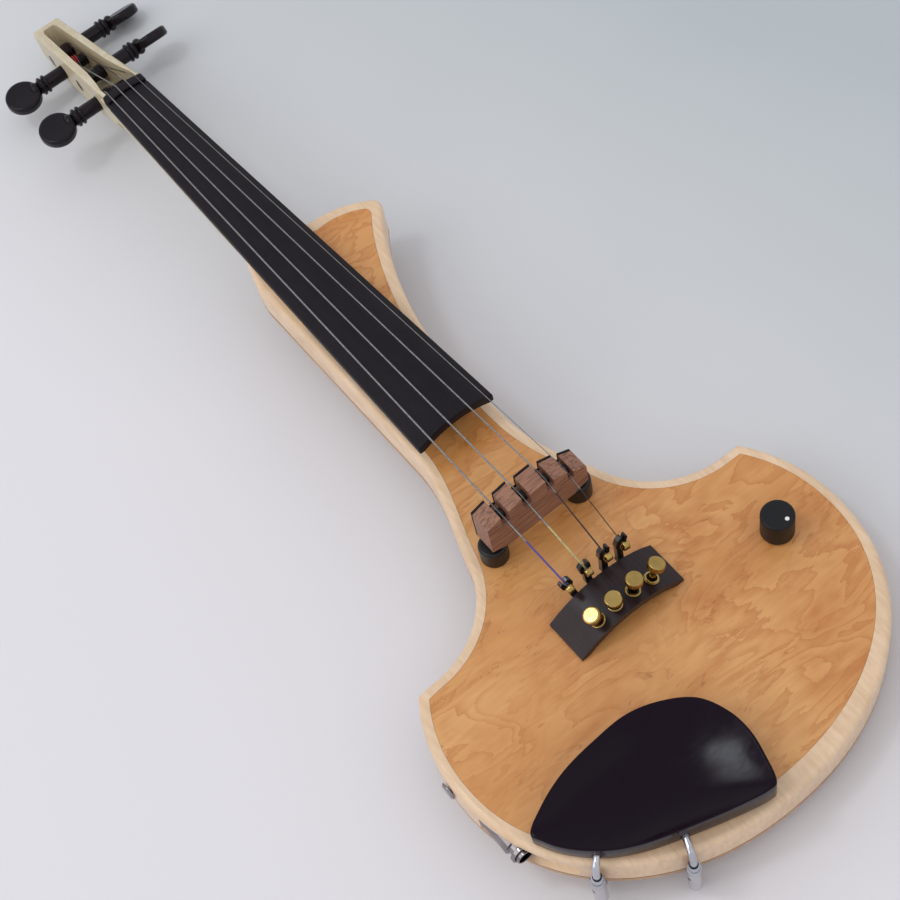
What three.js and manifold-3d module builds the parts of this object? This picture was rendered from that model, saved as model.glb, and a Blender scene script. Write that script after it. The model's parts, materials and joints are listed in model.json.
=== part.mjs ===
// Electric violin with a flat laminated body, one treble horn and a headless open pegbox.
// Millimetres, +Z up. The origin is on the back face, on the centre line, under the bridge.
// +X is the treble side and +Y points towards the head.
import * as THREE from 'three';
import { mergeVertices } from 'three/addons/utils/BufferGeometryUtils.js';
import Module from 'manifold-3d';

const wasm = await Module();
wasm.setup();

// Body layers
const bodyThickness = 23;
const backPlateThickness = 5.3;
const accentThickness = 0.8;
const topEdgeRound = 2.6;
const backEdgeRound = 3.4;

// Body outline
const boutHalfWidth = 100;
const boutCentreY = -72;
const boutTailReach = 84.5;
const boutHeadReach = 82;
const boutExponent = 2.12;
const waistCurveRadius = 45.3;
const waistCurveX = 78;
const waistCurveY = 17.7;
const waistCurveSweep = { bass: THREE.MathUtils.degToRad(75), treble: THREE.MathUtils.degToRad(72.8) };
const flareHandle = { bass: 20, treble: 9.3 };
const waistHandle = { bass: 20, treble: 30.9 };
const waistTrebleX = 21.8;
const waistTrebleStartY = 56.7;
const waistTrebleEndY = 91;
const waistBassX = 19.9;
const waistBassStartY = 62;
const headEndY = 208;
const headEndHalf = 11.8;
const headCornerShare = 0.25;
const shoulderRun = 28;
const shoulderPullX = 17.8;
const shoulderPullRun = 14;
const hornUnder = [50.3, 178.4];
const hornTip = [54.2, 184.4];
const hornOver = [47.7, 187.9];
const hornRoot = [19.4, 196.6];
const hornCrown = 2.1;
const hornHandle = 22.9;
const hornHeading = THREE.MathUtils.degToRad(54.3);

// Border left around the veneer
const borderWidth = 4.6;
const borderTail = 8.4;
const borderWaistTreble = 5.4;
const borderWaistBass = 4.8;
const borderHead = 7;
const borderHornUnder = [6.1, -0.6];
const borderHornTip = [8.5, 2.3];
const borderHornOver = [4.6, 3.9];
const borderHornRoot = [-0.6, 7.2];

// Veneer let into the top
const veneerThickness = 0.9;
const veneerGap = 0.2;

// Fingerboard
const nutY = 328;
const fingerboardEndY = 53.5;
const fingerboardNutHalf = 12;
const fingerboardEndHalf = 20.15;
const fingerboardEdge = 4.2;
const fingerboardRadius = 42;
const fingerboardUnderEnd = 11.2;
const fingerboardUnderNut = -6.6;
const fingerboardScoop = 4.4;
const fingerboardScoopEndY = 108;
const fingerboardScoopRim = 2.6;
const fingerboardStationShares = [0, 0.15, 0.35, 0.6, 0.82, 1];

// Neck, with the heel behind the body's end
const neckTongue = 60;
const neckInset = 0.3;
const tongueInset = 1.2;
const neckDepth = 14.2;
const neckDepthFall = 0.9;
const neckExponent = 2.5;
const heelExponentDrop = 0.85;
const heelDepth = 7.4;
const heelLength = 20;
const heelFadePower = 1.5;
const heelStationShares = [0, 0.12, 0.25, 0.4, 0.6, 0.8, 1];
const neckStationShares = [0.3, 0.63];
const throatDepth = 5.6;
const throatStartRun = 25;
const throatEndRun = 2;
const throatStationShares = [0, 0.25, 0.5, 0.75, 1];
const seatGap = 0.3;

// Nut
const nutLength = 5.3;
const nutHalf = 11.7;
const nutCover = 1.2;
const nutStringPitch = 5.6;
const actionAtNut = 0.9;
const bearingGap = 0.1;

// Pegbox
const pegboxTilt = THREE.MathUtils.degToRad(17.8);
const pegboxRun = 6;
const pegboxDrop = 1.5;
const pegboxLength = 99.2;
const pegboxNearHalf = 10.9;
const pegboxFarHalf = 8.2;
const pegboxStationShares = [0, 0.12, 0.3, 0.5, 0.7, 0.89, 1];
const pegboxDepths = [23, 25, 27, 27.3, 25.6, 22.6, 20.4];
const pegboxCornerRound = 5;
const pegboxTopRound = 0.9;
const cavityStart = 0.2;
const cavityEndWall = 4.4;
const cavityThroatHalf = 9;
const cavityThroatLength = 7;
const cavityShoulderHalf = 7.6;
const cavityNearHalf = 6.2;
const cavityFarHalf = 4;
const cavityEndTaper = 1.2;
const cavityShoulder = 16;
const cavityTaperStart = 30;
const cavityDepth = 19.2;
const cavityEndRound = 6;
const cavityThroatDepth = 9;
const cavityThroatStep = 1.4;
const cavityFloorRun = 4.2;

// Pegs from the lowest string to the highest; side -1 is the bass side
const pegs = {
  g: { alongShare: 0.212, side: -1, turn: THREE.MathUtils.degToRad(24) },
  d: { alongShare: 0.696, side: -1, turn: THREE.MathUtils.degToRad(24) },
  a: { alongShare: 0.867, side: 1, turn: THREE.MathUtils.degToRad(-36) },
  e: { alongShare: 0.474, side: 1, turn: THREE.MathUtils.degToRad(-44) },
};
const pegDepth = 13;
const pegShaftRadius = 3.9;
const pegTipRadius = 3.25;
const pegRunning = 0.3;
const pegShaftOutBass = 12.5;
const pegShaftOutTreble = 9.8;
const pegRingRadius = 5;
const pegRingWidth = 1.7;
const pegRingGap = 0.9;
const pegGrooveRadius = 3.9;
const pegBulbRadius = 4.7;
const pegBulbLength = 6;
const pegBulbShares = [[1, 0.35], [0.9, 0.7]];
const pegHeadRadius = 9.7;
const pegHeadHalf = 2.7;
const pegHeadRound = 1.6;
const pegHeadSinkShare = 0.55;
const pegNeckShares = [0.9, 0.8];

// Strings
const stringNames = ['g', 'd', 'a', 'e'];
const stringRadius = { g: 0.42, d: 0.4, a: 0.36, e: 0.2 };
const bridgeStringX = { g: -17.4, d: -6.1, a: 6.05, e: 16.4 };
const bridgeStringHeight = { g: 31.5, d: 32.4, a: 31.8, e: 27 };
const windingX = { g: -3.2, d: -1.8, a: 1.2, e: 3 };
const windingTurns = 3;
const windingGap = 0.46;
const windingLift = 0.3;
const windingSteps = 24;
const stringSides = 6;

// Bridge, with the left and right top of each block measured above the body
const bridgeHalfDepth = 5.1;
const bridgeBottom = 11;
const bridgeEndRise = 3;
const bridgeEndRun = 7.4;
const bridgeEnds = [-26.6, 24.4];
const bridgeSlotHalf = { g: 2.1, d: 2.1, a: 1.9, e: 1.5 };
const bridgeBlockTops = [[32.8, 35.2], [35.6, 37], [36, 36.4], [33.8, 31], [28.5, 24.8]];
const bridgeFacing = 1.1;
const bridgeFacingGap = 0.2;
const saddleHeight = 3;
const saddleHalfDepth = 2.2;
const saddleSideGap = 0.25;
const saddleCrownAngle = THREE.MathUtils.degToRad(27);
const bearingHalf = 0.8;
const bridgeFootX = { bass: -23.7, treble: 21.5 };
const bridgeFootRadius = 6.2;
const bridgeFootGap = 0.3;
const bridgeFootEdge = 0.8;
const bridgeStudRadius = 1.7;
const bridgeStudLength = 8;

// Arched tailpiece, with radii about an axis along Y
const archRadius = 42.5;
const archThickness = 3.5;
const archRise = 11.3;
const archHalf = 27;
const archFrontY = -40.3;
const archRearY = -61;

// Fine tuners: places across the arch and knob heights above it
const tunerX = { g: -12.9, d: -3.7, a: 5.8, e: 15.2 };
const tunerY = -54.9;
const knobTopRise = { g: 9.4, d: 6.6, a: 9.6, e: 10.6 };
const knobRadius = 3.8;
const knobHeight = 3.4;
const knobEdge = 0.5;
const screwRadius = 1.4;
const screwHole = 1.8;
const collarOuter = 3.3;
const collarInner = 2.3;
const collarHeight = 1.2;
const collarSeat = 0.05;
const leverHalf = 1.6;
const leverLow = 36.1;
const leverHigh = 37.6;
const leverTailY = -56;
const leverPivotY = -43;
const leverPostFrontY = -35.6;
const leverPostRearY = -37.8;
const trunnionRadius = 1;
const trunnionHalf = 3.1;
const lugInner = 2;
const lugThickness = 1.8;
const lugHalfLength = 2.1;
const lugBottom = 34.5;
const lugHole = 1.3;
const forkSlot = 0.85;
const forkHalf = 2.7;
const forkHeight = 5.4;
const forkNeck = 1.5;
const forkNeckDrop = 2;
const forkShoulderShare = 0.7;
const forkTipInset = 1;
const forkFloorDrop = 1.4;
const forkSlotDepth = 4;
const ballRadius = 1.9;
const ballHole = 0.8;
const ballHalf = 1.5;
const ballEdge = 0.3;
const ballRise = 50.2;
const ballGap = 0.3;
const ballShift = { g: 1.2, d: 0.1, a: -1, e: -3.4 };

// Chinrest plate: outline as shares of the bout's half width and tail reach, rim heights and dish
const chinrestOutlineShares = [
  [-0.9, -0.414], [-0.798, -0.341], [-0.65, -0.284], [-0.475, -0.263], [-0.315, -0.266], [-0.18, -0.322],
  [-0.064, -0.424], [-0.011, -0.57], [-0.004, -0.696], [-0.024, -0.814], [-0.071, -0.959], [-0.109, -0.962],
  [-0.19, -0.942], [-0.37, -0.879], [-0.612, -0.773], [-0.74, -0.678], [-0.844, -0.549], [-0.884, -0.466],
];
const chinrestRimLeft = 12;
const chinrestRimRight = 16;
const chinrestDishCentreShares = [-0.42, -0.604];
const chinrestDishHeight = 7;
const chinrestUnder = 3;
const chinrestHeadEdge = 3.6;
const chinrestHeadShare = -0.379;
const chinrestTailShare = -0.497;
const chinrestLip = 1.3;
const chinrestLipRound = 0.9;
const chinrestDishShares = [0.93, 0.84, 0.72, 0.56, 0.38, 0.2];
const chinrestUnderShares = [0.8, 0.3];
const chinrestDishPower = 2;
const corkInnerShare = 0.72;
const corkOuterShare = 0.95;
const corkEndShare = -0.2;

// Chinrest clamp: turnbuckles at the body's edge and a foot under the back
const clampBearing = { bass: THREE.MathUtils.degToRad(41.2), tail: THREE.MathUtils.degToRad(63.5) };
const clampStandOff = 1.2;
const clampReach = 15.5;
const clampRodRadius = 1.55;
const clampRodHeight = 6.2;
const clampBoreGap = 0.25;
const clampBend = 3.4;
const clampRodEnd = 7;
const barrelRadius = 3;
const barrelBore = 1.9;
const barrelTop = -2;
const barrelBottom = -26.5;
const barrelCollarRadius = 2.5;
const barrelCollar = 3.4;
const barrelCrossHole = 0.9;
const footLift = 1.5;
const footThickness = 2.4;
const footHalfWidth = 5;
const footReach = 19;
const footRodDrop = 7.3;
const footRodEngaged = 6;
const footBend = 2.4;
const footCorkInset = 1;

// Volume control
const volumeInset = 29.6;
const volumeRise = 2.6;
const volumeRadius = 7.2;
const volumeTop = 14.4;
const volumeLift = 1;
const volumeEdge = 1;
const volumeRecessRadius = 5.9;
const volumeRecess = 3.4;
const volumeShaftHole = 2.8;
const volumeShaftDepth = 11.4;
const dotRadius = 1.1;
const dotThickness = 0.5;
const dotReach = 4.2;
const dotHeading = THREE.MathUtils.degToRad(-67);
const potRadius = 8.2;
const potHeight = 8;
const potBushRadius = 3.6;
const potBushRise = 2.9;
const potBushHole = 2.8;
const potShaftRadius = 2.5;
const potShaftTop = 11;
const potHoleGap = 0.4;
const potNutAcross = 5.4;
const potNutHeight = 1.8;

// Control cavity in the back
const controlInset = 36;
const controlRise = 2;
const controlHalfX = 22;
const controlHalfY = 24;
const controlCorner = 8;
const controlRoof = 5;
const coverThickness = 2.4;
const coverLedge = 5;
const coverGap = 0.3;
const coverScrewHead = 2.3;
const coverScrewHeadHeight = 1;
const coverScrewShank = 1.2;
const coverScrewLength = 4.6;
const coverScrewInset = 3.2;

// Output jack in a cut-out of the bass side, with a scoop for the plug
const jackInset = 1.6;
const jackHeight = 12;
const jackRadius = 5.2;
const jackRearRun = 11;
const jackShoulderRun = 27.3;
const jackMouthRun = 33.6;
const jackBushRadius = 3.9;
const jackBore = 3.2;
const jackBoreEndRun = 14;
const jackWall = 2.5;
const jackNutRadius = 5.2;
const jackNutLength = 1.9;
const jackRoom = 0.35;
const jackRecessRoom = 0.6;
const scoopRadius = 5.9;
const scoopBow = 1.2;
const scoopEndOutset = 2.8;
const scoopEndRun = 49;

// Strap button in the bass side
const buttonRise = 7.6;
const buttonHeight = 12;
const buttonRadius = 4;
const buttonThickness = 1.3;
const buttonShankRadius = 1.5;
const buttonShankLength = 9;
const buttonRimShare = 0.7;
const buttonFaceShare = 0.75;

// Facets
const boutSteps = 10;
const curveSteps = 6;
const cornerSteps = 3;
const chinrestSteps = 34;
const elbowSteps = 4;
const nutSides = 6;
const roundSteps = 3;
const edgeSteps = 2;
const circleSides = 18;
const smallSides = 14;
const pegSides = 12;
const fineSides = 8;
const overrun = 1;
const mergeDistance = 1e-4;

const topZ = bodyThickness;
const coreZ = backPlateThickness + accentThickness;
const fullTurn = Math.PI * 2;
const neckStartY = headEndY - neckTongue;
const throatStartY = nutY - throatStartRun;
const throatEndY = nutY - throatEndRun;
const pegboxY = nutY + pegboxRun;
const controlX = boutHalfWidth - controlInset;
const controlY = boutCentreY + controlRise;
const volumeX = boutHalfWidth - volumeInset;
const volumeY = boutCentreY + volumeRise;
const buttonY = boutCentreY + buttonRise;

const materials = {
  maple: new THREE.MeshStandardMaterial({ color: 0xe6cb9f, roughness: 0.35, metalness: 0 }),
  backWood: new THREE.MeshStandardMaterial({ color: 0xd6ab7c, roughness: 0.35, metalness: 0 }),
  veneer: new THREE.MeshStandardMaterial({ color: 0xd29055, roughness: 0.3, metalness: 0 }),
  accent: new THREE.MeshStandardMaterial({ color: 0x9c6433, roughness: 0.4, metalness: 0 }),
  ebony: new THREE.MeshStandardMaterial({ color: 0x1b1719, roughness: 0.42, metalness: 0 }),
  polished: new THREE.MeshStandardMaterial({ color: 0x131014, roughness: 0.18, metalness: 0 }),
  walnut: new THREE.MeshStandardMaterial({ color: 0x60402f, roughness: 0.5, metalness: 0 }),
  gold: new THREE.MeshStandardMaterial({ color: 0xc9a64c, roughness: 0.28, metalness: 1 }),
  chrome: new THREE.MeshStandardMaterial({ color: 0xd4d6da, roughness: 0.12, metalness: 1 }),
  blackMetal: new THREE.MeshStandardMaterial({ color: 0x17161a, roughness: 0.35, metalness: 0.6 }),
  steel: new THREE.MeshStandardMaterial({ color: 0xb9bcc2, roughness: 0.25, metalness: 1 }),
  plastic: new THREE.MeshStandardMaterial({ color: 0x151416, roughness: 0.4, metalness: 0 }),
  white: new THREE.MeshStandardMaterial({ color: 0xf0efe9, roughness: 0.5, metalness: 0 }),
  cork: new THREE.MeshStandardMaterial({ color: 0x8a6a48, roughness: 0.9, metalness: 0 }),
};

const violin = new THREE.Group();

// Solids

/** An indexed geometry whose faces all point out. */
function facingOut(positions, faces) {
  const corner = (index) => new THREE.Vector3().fromArray(positions, faces[index] * 3);
  let volume = 0;
  for (let face = 0; face < faces.length; face += 3) {
    volume += corner(face).dot(corner(face + 1).cross(corner(face + 2)));
  }
  if (volume < 0) faces.reverse();
  const geometry = new THREE.BufferGeometry();
  geometry.setAttribute('position', new THREE.Float32BufferAttribute(positions, 3));
  geometry.setIndex(faces);
  return geometry;
}

/** A closed solid from a geometry, with equal corners merged and flat faces dropped. */
function solid(geometry) {
  const plain = geometry.clone();
  plain.deleteAttribute('normal');
  plain.deleteAttribute('uv');
  const merged = mergeVertices(plain, mergeDistance);
  const index = [];
  for (let face = 0; face < merged.index.count; face += 3) {
    const corners = [0, 1, 2].map((corner) => merged.index.getX(face + corner));
    if (new Set(corners).size === 3) index.push(...corners);
  }
  return new wasm.Manifold(new wasm.Mesh({
    numProp: 3,
    vertProperties: new Float32Array(merged.attributes.position.array),
    triVerts: new Uint32Array(index),
  }));
}

/** Adds a named piece, given as a solid or a closed geometry. */
function addPiece(name, shape, material) {
  const body = shape.isBufferGeometry ? solid(shape) : shape;
  const { vertProperties, triVerts } = body.getMesh();
  const geometry = new THREE.BufferGeometry();
  geometry.setAttribute('position', new THREE.BufferAttribute(new Float32Array(vertProperties), 3));
  geometry.setIndex(new THREE.BufferAttribute(new Uint32Array(triVerts), 1));
  geometry.computeVertexNormals();
  const mesh = new THREE.Mesh(geometry, material);
  mesh.name = name;
  violin.add(mesh);
}

/** One solid from several geometries. */
function united(...geometries) {
  return geometries.map((geometry) => (geometry.isBufferGeometry ? solid(geometry) : geometry))
    .reduce((whole, next) => whole.add(next));
}

/** A solid with several geometries cut out of it. */
function cut(shape, ...geometries) {
  const body = shape.isBufferGeometry ? solid(shape) : shape;
  return geometries.reduce((rest, tool) => rest.subtract(tool.isBufferGeometry ? solid(tool) : tool), body);
}

/** A cylinder or cone from one point to another. */
function rod(from, to, radius, endRadius = radius, sides = circleSides) {
  const start = new THREE.Vector3(...from);
  const end = new THREE.Vector3(...to);
  const along = end.clone().sub(start);
  const geometry = new THREE.CylinderGeometry(endRadius, radius, along.length(), sides);
  const turn = new THREE.Quaternion().setFromUnitVectors(THREE.Object3D.DEFAULT_UP, along.normalize());
  const centre = start.add(end).multiplyScalar(0.5);
  return geometry.applyMatrix4(new THREE.Matrix4().compose(centre, turn, new THREE.Vector3(1, 1, 1)));
}

/** A box between two corners. */
function block(low, high) {
  const size = low.map((value, axis) => high[axis] - value);
  const geometry = new THREE.BoxGeometry(...size);
  return geometry.translate(...low.map((value, axis) => value + size[axis] / 2));
}

/** A flat outline raised along Z from one height to another. */
function raised(points, low, high) {
  const shape = new THREE.Shape(points.map((point) => (point.isVector2 ? point : new THREE.Vector2(...point))));
  const geometry = new THREE.ExtrudeGeometry(shape, { depth: high - low, bevelEnabled: false });
  return geometry.translate(0, 0, low);
}

/** An outline of Y and Z pairs drawn out along X. */
function sideways(points, low, high) {
  const turn = new THREE.Matrix4().makeBasis(
    new THREE.Vector3(0, 1, 0), new THREE.Vector3(0, 0, 1), new THREE.Vector3(1, 0, 0),
  );
  return raised(points, low, high).applyMatrix4(turn);
}

/** An outline of X and Z pairs drawn out along Y. */
function lengthways(points, low, high) {
  const turn = new THREE.Matrix4().makeBasis(
    new THREE.Vector3(1, 0, 0), new THREE.Vector3(0, 0, 1), new THREE.Vector3(0, -1, 0),
  );
  return raised(points, -high, -low).applyMatrix4(turn);
}

/** A profile of radius and height pairs turned about Z. */
function turned(profile, sides = circleSides) {
  const points = profile.map(([radius, height]) => new THREE.Vector2(radius, height));
  return new THREE.LatheGeometry(points, sides).rotateX(Math.PI / 2);
}

/** A closed skin through rings of equally many points, with flat ends shaped like flatRing. */
function loft(rings, flatRing) {
  const count = rings[0].length;
  const positions = rings.flat(2);
  const faces = [];
  for (let ring = 0; ring < rings.length - 1; ring += 1) {
    for (let point = 0; point < count; point += 1) {
      const next = (point + 1) % count;
      const here = ring * count;
      const there = here + count;
      faces.push(here + point, here + next, there + next);
      faces.push(here + point, there + next, there + point);
    }
  }
  const flat = flatRing.map(([a, b]) => new THREE.Vector2(a, b));
  const last = (rings.length - 1) * count;
  const clockwise = THREE.ShapeUtils.isClockWise(flat);
  for (const cap of THREE.ShapeUtils.triangulateShape(flat, [])) {
    const [a, b, c] = clockwise ? [...cap].reverse() : cap;
    faces.push(c, b, a);
    faces.push(last + a, last + b, last + c);
  }
  return facingOut(positions, faces);
}

/** A round tube of one radius along points, with flat ends. */
function tube(points, radius, sides) {
  const side = new THREE.Vector3(1, 0, 0);
  const angles = Array.from({ length: sides }, (_, step) => (step / sides) * fullTurn);
  const rings = points.map((point, index) => {
    const before = points[Math.max(index - 1, 0)];
    const after = points[Math.min(index + 1, points.length - 1)];
    const along = after.clone().sub(before).normalize();
    if (index === 0 && Math.abs(along.x) > Math.SQRT1_2) side.set(0, 0, 1);
    side.addScaledVector(along, -side.dot(along)).normalize();
    const other = new THREE.Vector3().crossVectors(along, side);
    return angles.map((angle) => point.clone()
      .addScaledVector(side, radius * Math.cos(angle))
      .addScaledVector(other, radius * Math.sin(angle)).toArray());
  });
  return loft(rings, angles.map((angle) => [Math.cos(angle), Math.sin(angle)]));
}

/** Points of a flat arc about a centre. */
function arc(centre, radius, from, to, steps) {
  return Array.from({ length: steps + 1 }, (_, step) => {
    const angle = from + ((to - from) * step) / steps;
    return [centre[0] + radius * Math.cos(angle), centre[1] + radius * Math.sin(angle)];
  });
}

/** A value that eases from 0 to 1 while x runs from one number to another. */
function eased(x, from, to) {
  return THREE.MathUtils.smoothstep(x, Math.min(from, to), Math.max(from, to));
}

/** A closed flat outline moved inwards by a distance. */
function inset(points, distance) {
  const inward = THREE.ShapeUtils.isClockWise(points) ? -1 : 1;
  return points.map((point, index) => {
    const before = points[(index + points.length - 1) % points.length];
    const after = points[(index + 1) % points.length];
    const first = point.clone().sub(before).normalize();
    const second = after.clone().sub(point).normalize();
    const firstNormal = new THREE.Vector2(-first.y, first.x).multiplyScalar(inward);
    const secondNormal = new THREE.Vector2(-second.y, second.x).multiplyScalar(inward);
    const middle = firstNormal.clone().add(secondNormal).normalize();
    return point.clone().addScaledVector(middle, distance / middle.dot(firstNormal));
  });
}

// Body

/** Part of the lower bout, a superellipse, between two angles on one side. */
function boutArc(side, half, reach, from, to) {
  const power = 2 / boutExponent;
  return Array.from({ length: boutSteps + 1 }, (_, step) => {
    const angle = from + ((to - from) * step) / boutSteps;
    const x = side * half * Math.abs(Math.cos(angle)) ** power;
    const y = boutCentreY + Math.sign(Math.sin(angle)) * reach * Math.abs(Math.sin(angle)) ** power;
    return new THREE.Vector2(x, y);
  });
}

/** A smooth run between two points that leaves and arrives along given directions. */
function run(from, leave, to, arrive, steps = curveSteps) {
  const curve = new THREE.CubicBezierCurve(from, from.clone().add(leave), to.clone().sub(arrive), to);
  return curve.getPoints(steps);
}

/** A rounded turn between two points, pulled towards a third. */
function bend(from, pull, to, steps) {
  return new THREE.QuadraticBezierCurve(from, pull, to).getPoints(steps);
}

/** Half width of the lower bout at a distance along the body. */
function boutEdge(y) {
  const share = Math.abs((y - boutCentreY) / boutTailReach);
  return boutHalfWidth * (1 - share ** boutExponent) ** (1 / boutExponent);
}

/** The outline of the body with border 0, or of its veneer with border 1. */
function bodyOutline(border) {
  const half = boutHalfWidth - border * borderWidth;
  const tailReach = boutTailReach - border * borderTail;
  const headReach = boutHeadReach - border * borderWidth;
  const curveRadius = waistCurveRadius + border * borderWidth;
  const cornerRise = (waistCurveY - curveRadius - boutCentreY) / headReach;
  const cornerAngle = Math.asin(cornerRise ** (boutExponent / 2));
  const waistCurve = (side, sweep) => arc(
    [0, waistCurveY], curveRadius, -Math.PI / 2, -Math.PI / 2 - sweep, curveSteps,
  ).map(([x, y]) => new THREE.Vector2(side * (waistCurveX + x), y));
  const flare = (side, sweep, handle) => new THREE.Vector2(-side * Math.cos(sweep), Math.sin(sweep))
    .multiplyScalar(handle);
  const edge = (point, width) => new THREE.Vector2(point[0] - border * width[0], point[1] - border * width[1]);
  const up = new THREE.Vector2(0, waistHandle.bass);
  const down = new THREE.Vector2(0, -waistHandle.treble);
  const bassCurve = waistCurve(-1, waistCurveSweep.bass);
  const bassFlare = flare(-1, waistCurveSweep.bass, flareHandle.bass);
  const trebleCurve = waistCurve(1, waistCurveSweep.treble).reverse();
  const trebleFlare = flare(1, waistCurveSweep.treble, -flareHandle.treble);
  const bassX = border * borderWaistBass - waistBassX;
  const trebleX = waistTrebleX - border * borderWaistTreble;
  const endY = headEndY - border * borderHead;
  const endHalf = headEndHalf - border * borderWaistBass;
  const under = edge(hornUnder, borderHornUnder);
  const tip = edge(hornTip, borderHornTip);
  const over = edge(hornOver, borderHornOver);
  const root = edge(hornRoot, borderHornRoot);
  const hornWay = new THREE.Vector2(Math.cos(hornHeading), Math.sin(hornHeading)).multiplyScalar(-hornHandle);
  const hornTop = over.clone().sub(root);
  const hornPull = new THREE.Vector2(-hornTop.y, hornTop.x).setLength(2 * hornCrown)
    .addScaledVector(root.clone().add(over), 1 / 2);
  const lists = [
    boutArc(1, half, headReach, cornerAngle, 0),
    boutArc(1, half, tailReach, 0, -Math.PI / 2),
    boutArc(-1, half, tailReach, -Math.PI / 2, 0),
    boutArc(-1, half, headReach, 0, cornerAngle),
    bassCurve,
    run(bassCurve[curveSteps], bassFlare, new THREE.Vector2(bassX, waistBassStartY), up),
    bend(
      new THREE.Vector2(bassX, headEndY - shoulderRun),
      new THREE.Vector2(
        border * borderWaistBass - shoulderPullX, headEndY - shoulderPullRun - border * borderWaistBass,
      ),
      new THREE.Vector2(-endHalf, endY), curveSteps,
    ),
    bend(
      new THREE.Vector2(endHalf, endY),
      new THREE.Vector2(endHalf, THREE.MathUtils.lerp(root.y, endY, headCornerShare)), root, cornerSteps,
    ),
    bend(root, hornPull, over, curveSteps),
    bend(over, tip, under, curveSteps),
    run(under, hornWay, new THREE.Vector2(trebleX, waistTrebleEndY), down),
    run(new THREE.Vector2(trebleX, waistTrebleStartY), down, trebleCurve[0], trebleFlare),
    trebleCurve,
  ];
  const points = [];
  for (const point of lists.flat()) {
    if (!points.some((other) => other.distanceTo(point) < veneerGap)) points.push(point);
  }
  return points;
}

/** A slab of an outline with its upper or lower edge rounded. */
function roundedSlab(outline, low, high, radius, roundLow) {
  const rounding = Array.from({ length: edgeSteps + 1 }, (_, step) => {
    const angle = (step / edgeSteps) * (Math.PI / 2);
    return [radius * (1 - Math.cos(angle)), radius * Math.sin(angle)];
  });
  const levels = roundLow
    ? [...rounding.map(([way, rise]) => [way, low + radius - rise]).reverse(), [0, high]]
    : [[0, low], ...rounding.map(([way, rise]) => [way, high - radius + rise])];
  const rings = levels.map(([way, z]) => inset(outline, way).map((point) => [point.x, point.y, z]));
  return loft(rings, outline.map((point) => [point.x, point.y]));
}

/** A rounded rectangle about a centre. */
function roundedRectangle(x, y, halfX, halfY, radius) {
  const corners = [[1, 1, 0], [-1, 1, 1], [-1, -1, 2], [1, -1, 3]];
  return corners.flatMap(([signX, signY, quarter]) => arc(
    [x + signX * (halfX - radius), y + signY * (halfY - radius)],
    radius, (quarter * Math.PI) / 2, ((quarter + 1) * Math.PI) / 2, cornerSteps,
  ));
}

const outer = bodyOutline(0);
const veneerEdge = bodyOutline(1);
const jackRearY = boutCentreY - jackRearRun;
const jackShoulderY = boutCentreY - jackShoulderRun;
const jackMouthY = boutCentreY - jackMouthRun;
const jackBoreEndY = boutCentreY - jackBoreEndRun;
const jackX = jackInset - boutEdge(jackShoulderY);
const scoopEndY = boutCentreY - scoopEndRun;
const cavityOutline = roundedRectangle(
  controlX, controlY, controlHalfX - coverLedge, controlHalfY - coverLedge, controlCorner - coverLedge / 2,
);
const coverPocket = roundedRectangle(controlX, controlY, controlHalfX, controlHalfY, controlCorner);
const cavityCut = raised(cavityOutline, -overrun, topZ - controlRoof);
const bushCut = rod(
  [volumeX, volumeY, 0], [volumeX, volumeY, topZ + overrun], potBushRadius + potHoleGap,
);
const scoopPath = [
  new THREE.Vector3(jackX, jackShoulderY - jackWall, jackHeight),
  new THREE.Vector3(jackX + scoopBow, (jackShoulderY + scoopEndY) / 2, jackHeight),
  new THREE.Vector3(-boutEdge(scoopEndY) - scoopEndOutset, scoopEndY, jackHeight),
];
const scoopCut = united(
  tube(scoopPath, scoopRadius, smallSides),
  new THREE.SphereGeometry(scoopRadius, smallSides, smallSides / 2).translate(...scoopPath[2].toArray()),
);
const jackRecess = block(
  [-boutHalfWidth - jackRadius, jackShoulderY, jackHeight - jackRadius - jackRoom],
  [jackX + jackRadius + jackRecessRoom, jackRearY + jackRoom, jackHeight + jackRadius + jackRoom],
);
const jackBushCut = rod(
  [jackX, jackShoulderY + overrun, jackHeight],
  [jackX, jackShoulderY - jackWall - overrun, jackHeight], jackBushRadius + jackRoom,
);
const buttonCut = rod(
  [-boutHalfWidth - overrun, buttonY, buttonHeight],
  [-boutHalfWidth + buttonShankLength + overrun, buttonY, buttonHeight],
  buttonShankRadius + seatGap, buttonShankRadius + seatGap, smallSides,
);
const leadCut = rod(
  [jackX + jackRadius, jackRearY - jackRadius, jackHeight],
  [controlX - controlHalfX + coverLedge + overrun, controlY, jackHeight],
  potShaftRadius, potShaftRadius, smallSides,
);
const veneerPocket = raised(inset(veneerEdge, -veneerGap), topZ - veneerThickness, topZ + overrun);

addPiece('body_core', cut(
  roundedSlab(outer, coreZ, topZ, topEdgeRound, false),
  veneerPocket, cavityCut, bushCut, scoopCut, jackRecess, jackBushCut, buttonCut, leadCut,
), materials.maple);
addPiece('accent_layer', cut(
  raised(outer, backPlateThickness, coreZ), cavityCut, scoopCut, jackRecess,
), materials.accent);

const screwPlaces = [-1, 1].map((side) => [
  controlX + side * (controlHalfX - coverScrewInset),
  controlY + side * (controlHalfY - controlCorner - coverScrewInset),
]);
const screwHoles = screwPlaces.map(([x, y]) => rod(
  [x, y, 0], [x, y, coverScrewLength + coverGap],
  coverScrewShank + coverGap, coverScrewShank + coverGap, smallSides,
));
addPiece('back_plate', cut(
  roundedSlab(outer, 0, backPlateThickness, backEdgeRound, true),
  cavityCut, raised(coverPocket, -overrun, coverThickness), ...screwHoles,
), materials.backWood);
addPiece('top_veneer', cut(raised(veneerEdge, topZ - veneerThickness, topZ), bushCut), materials.veneer);

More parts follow.
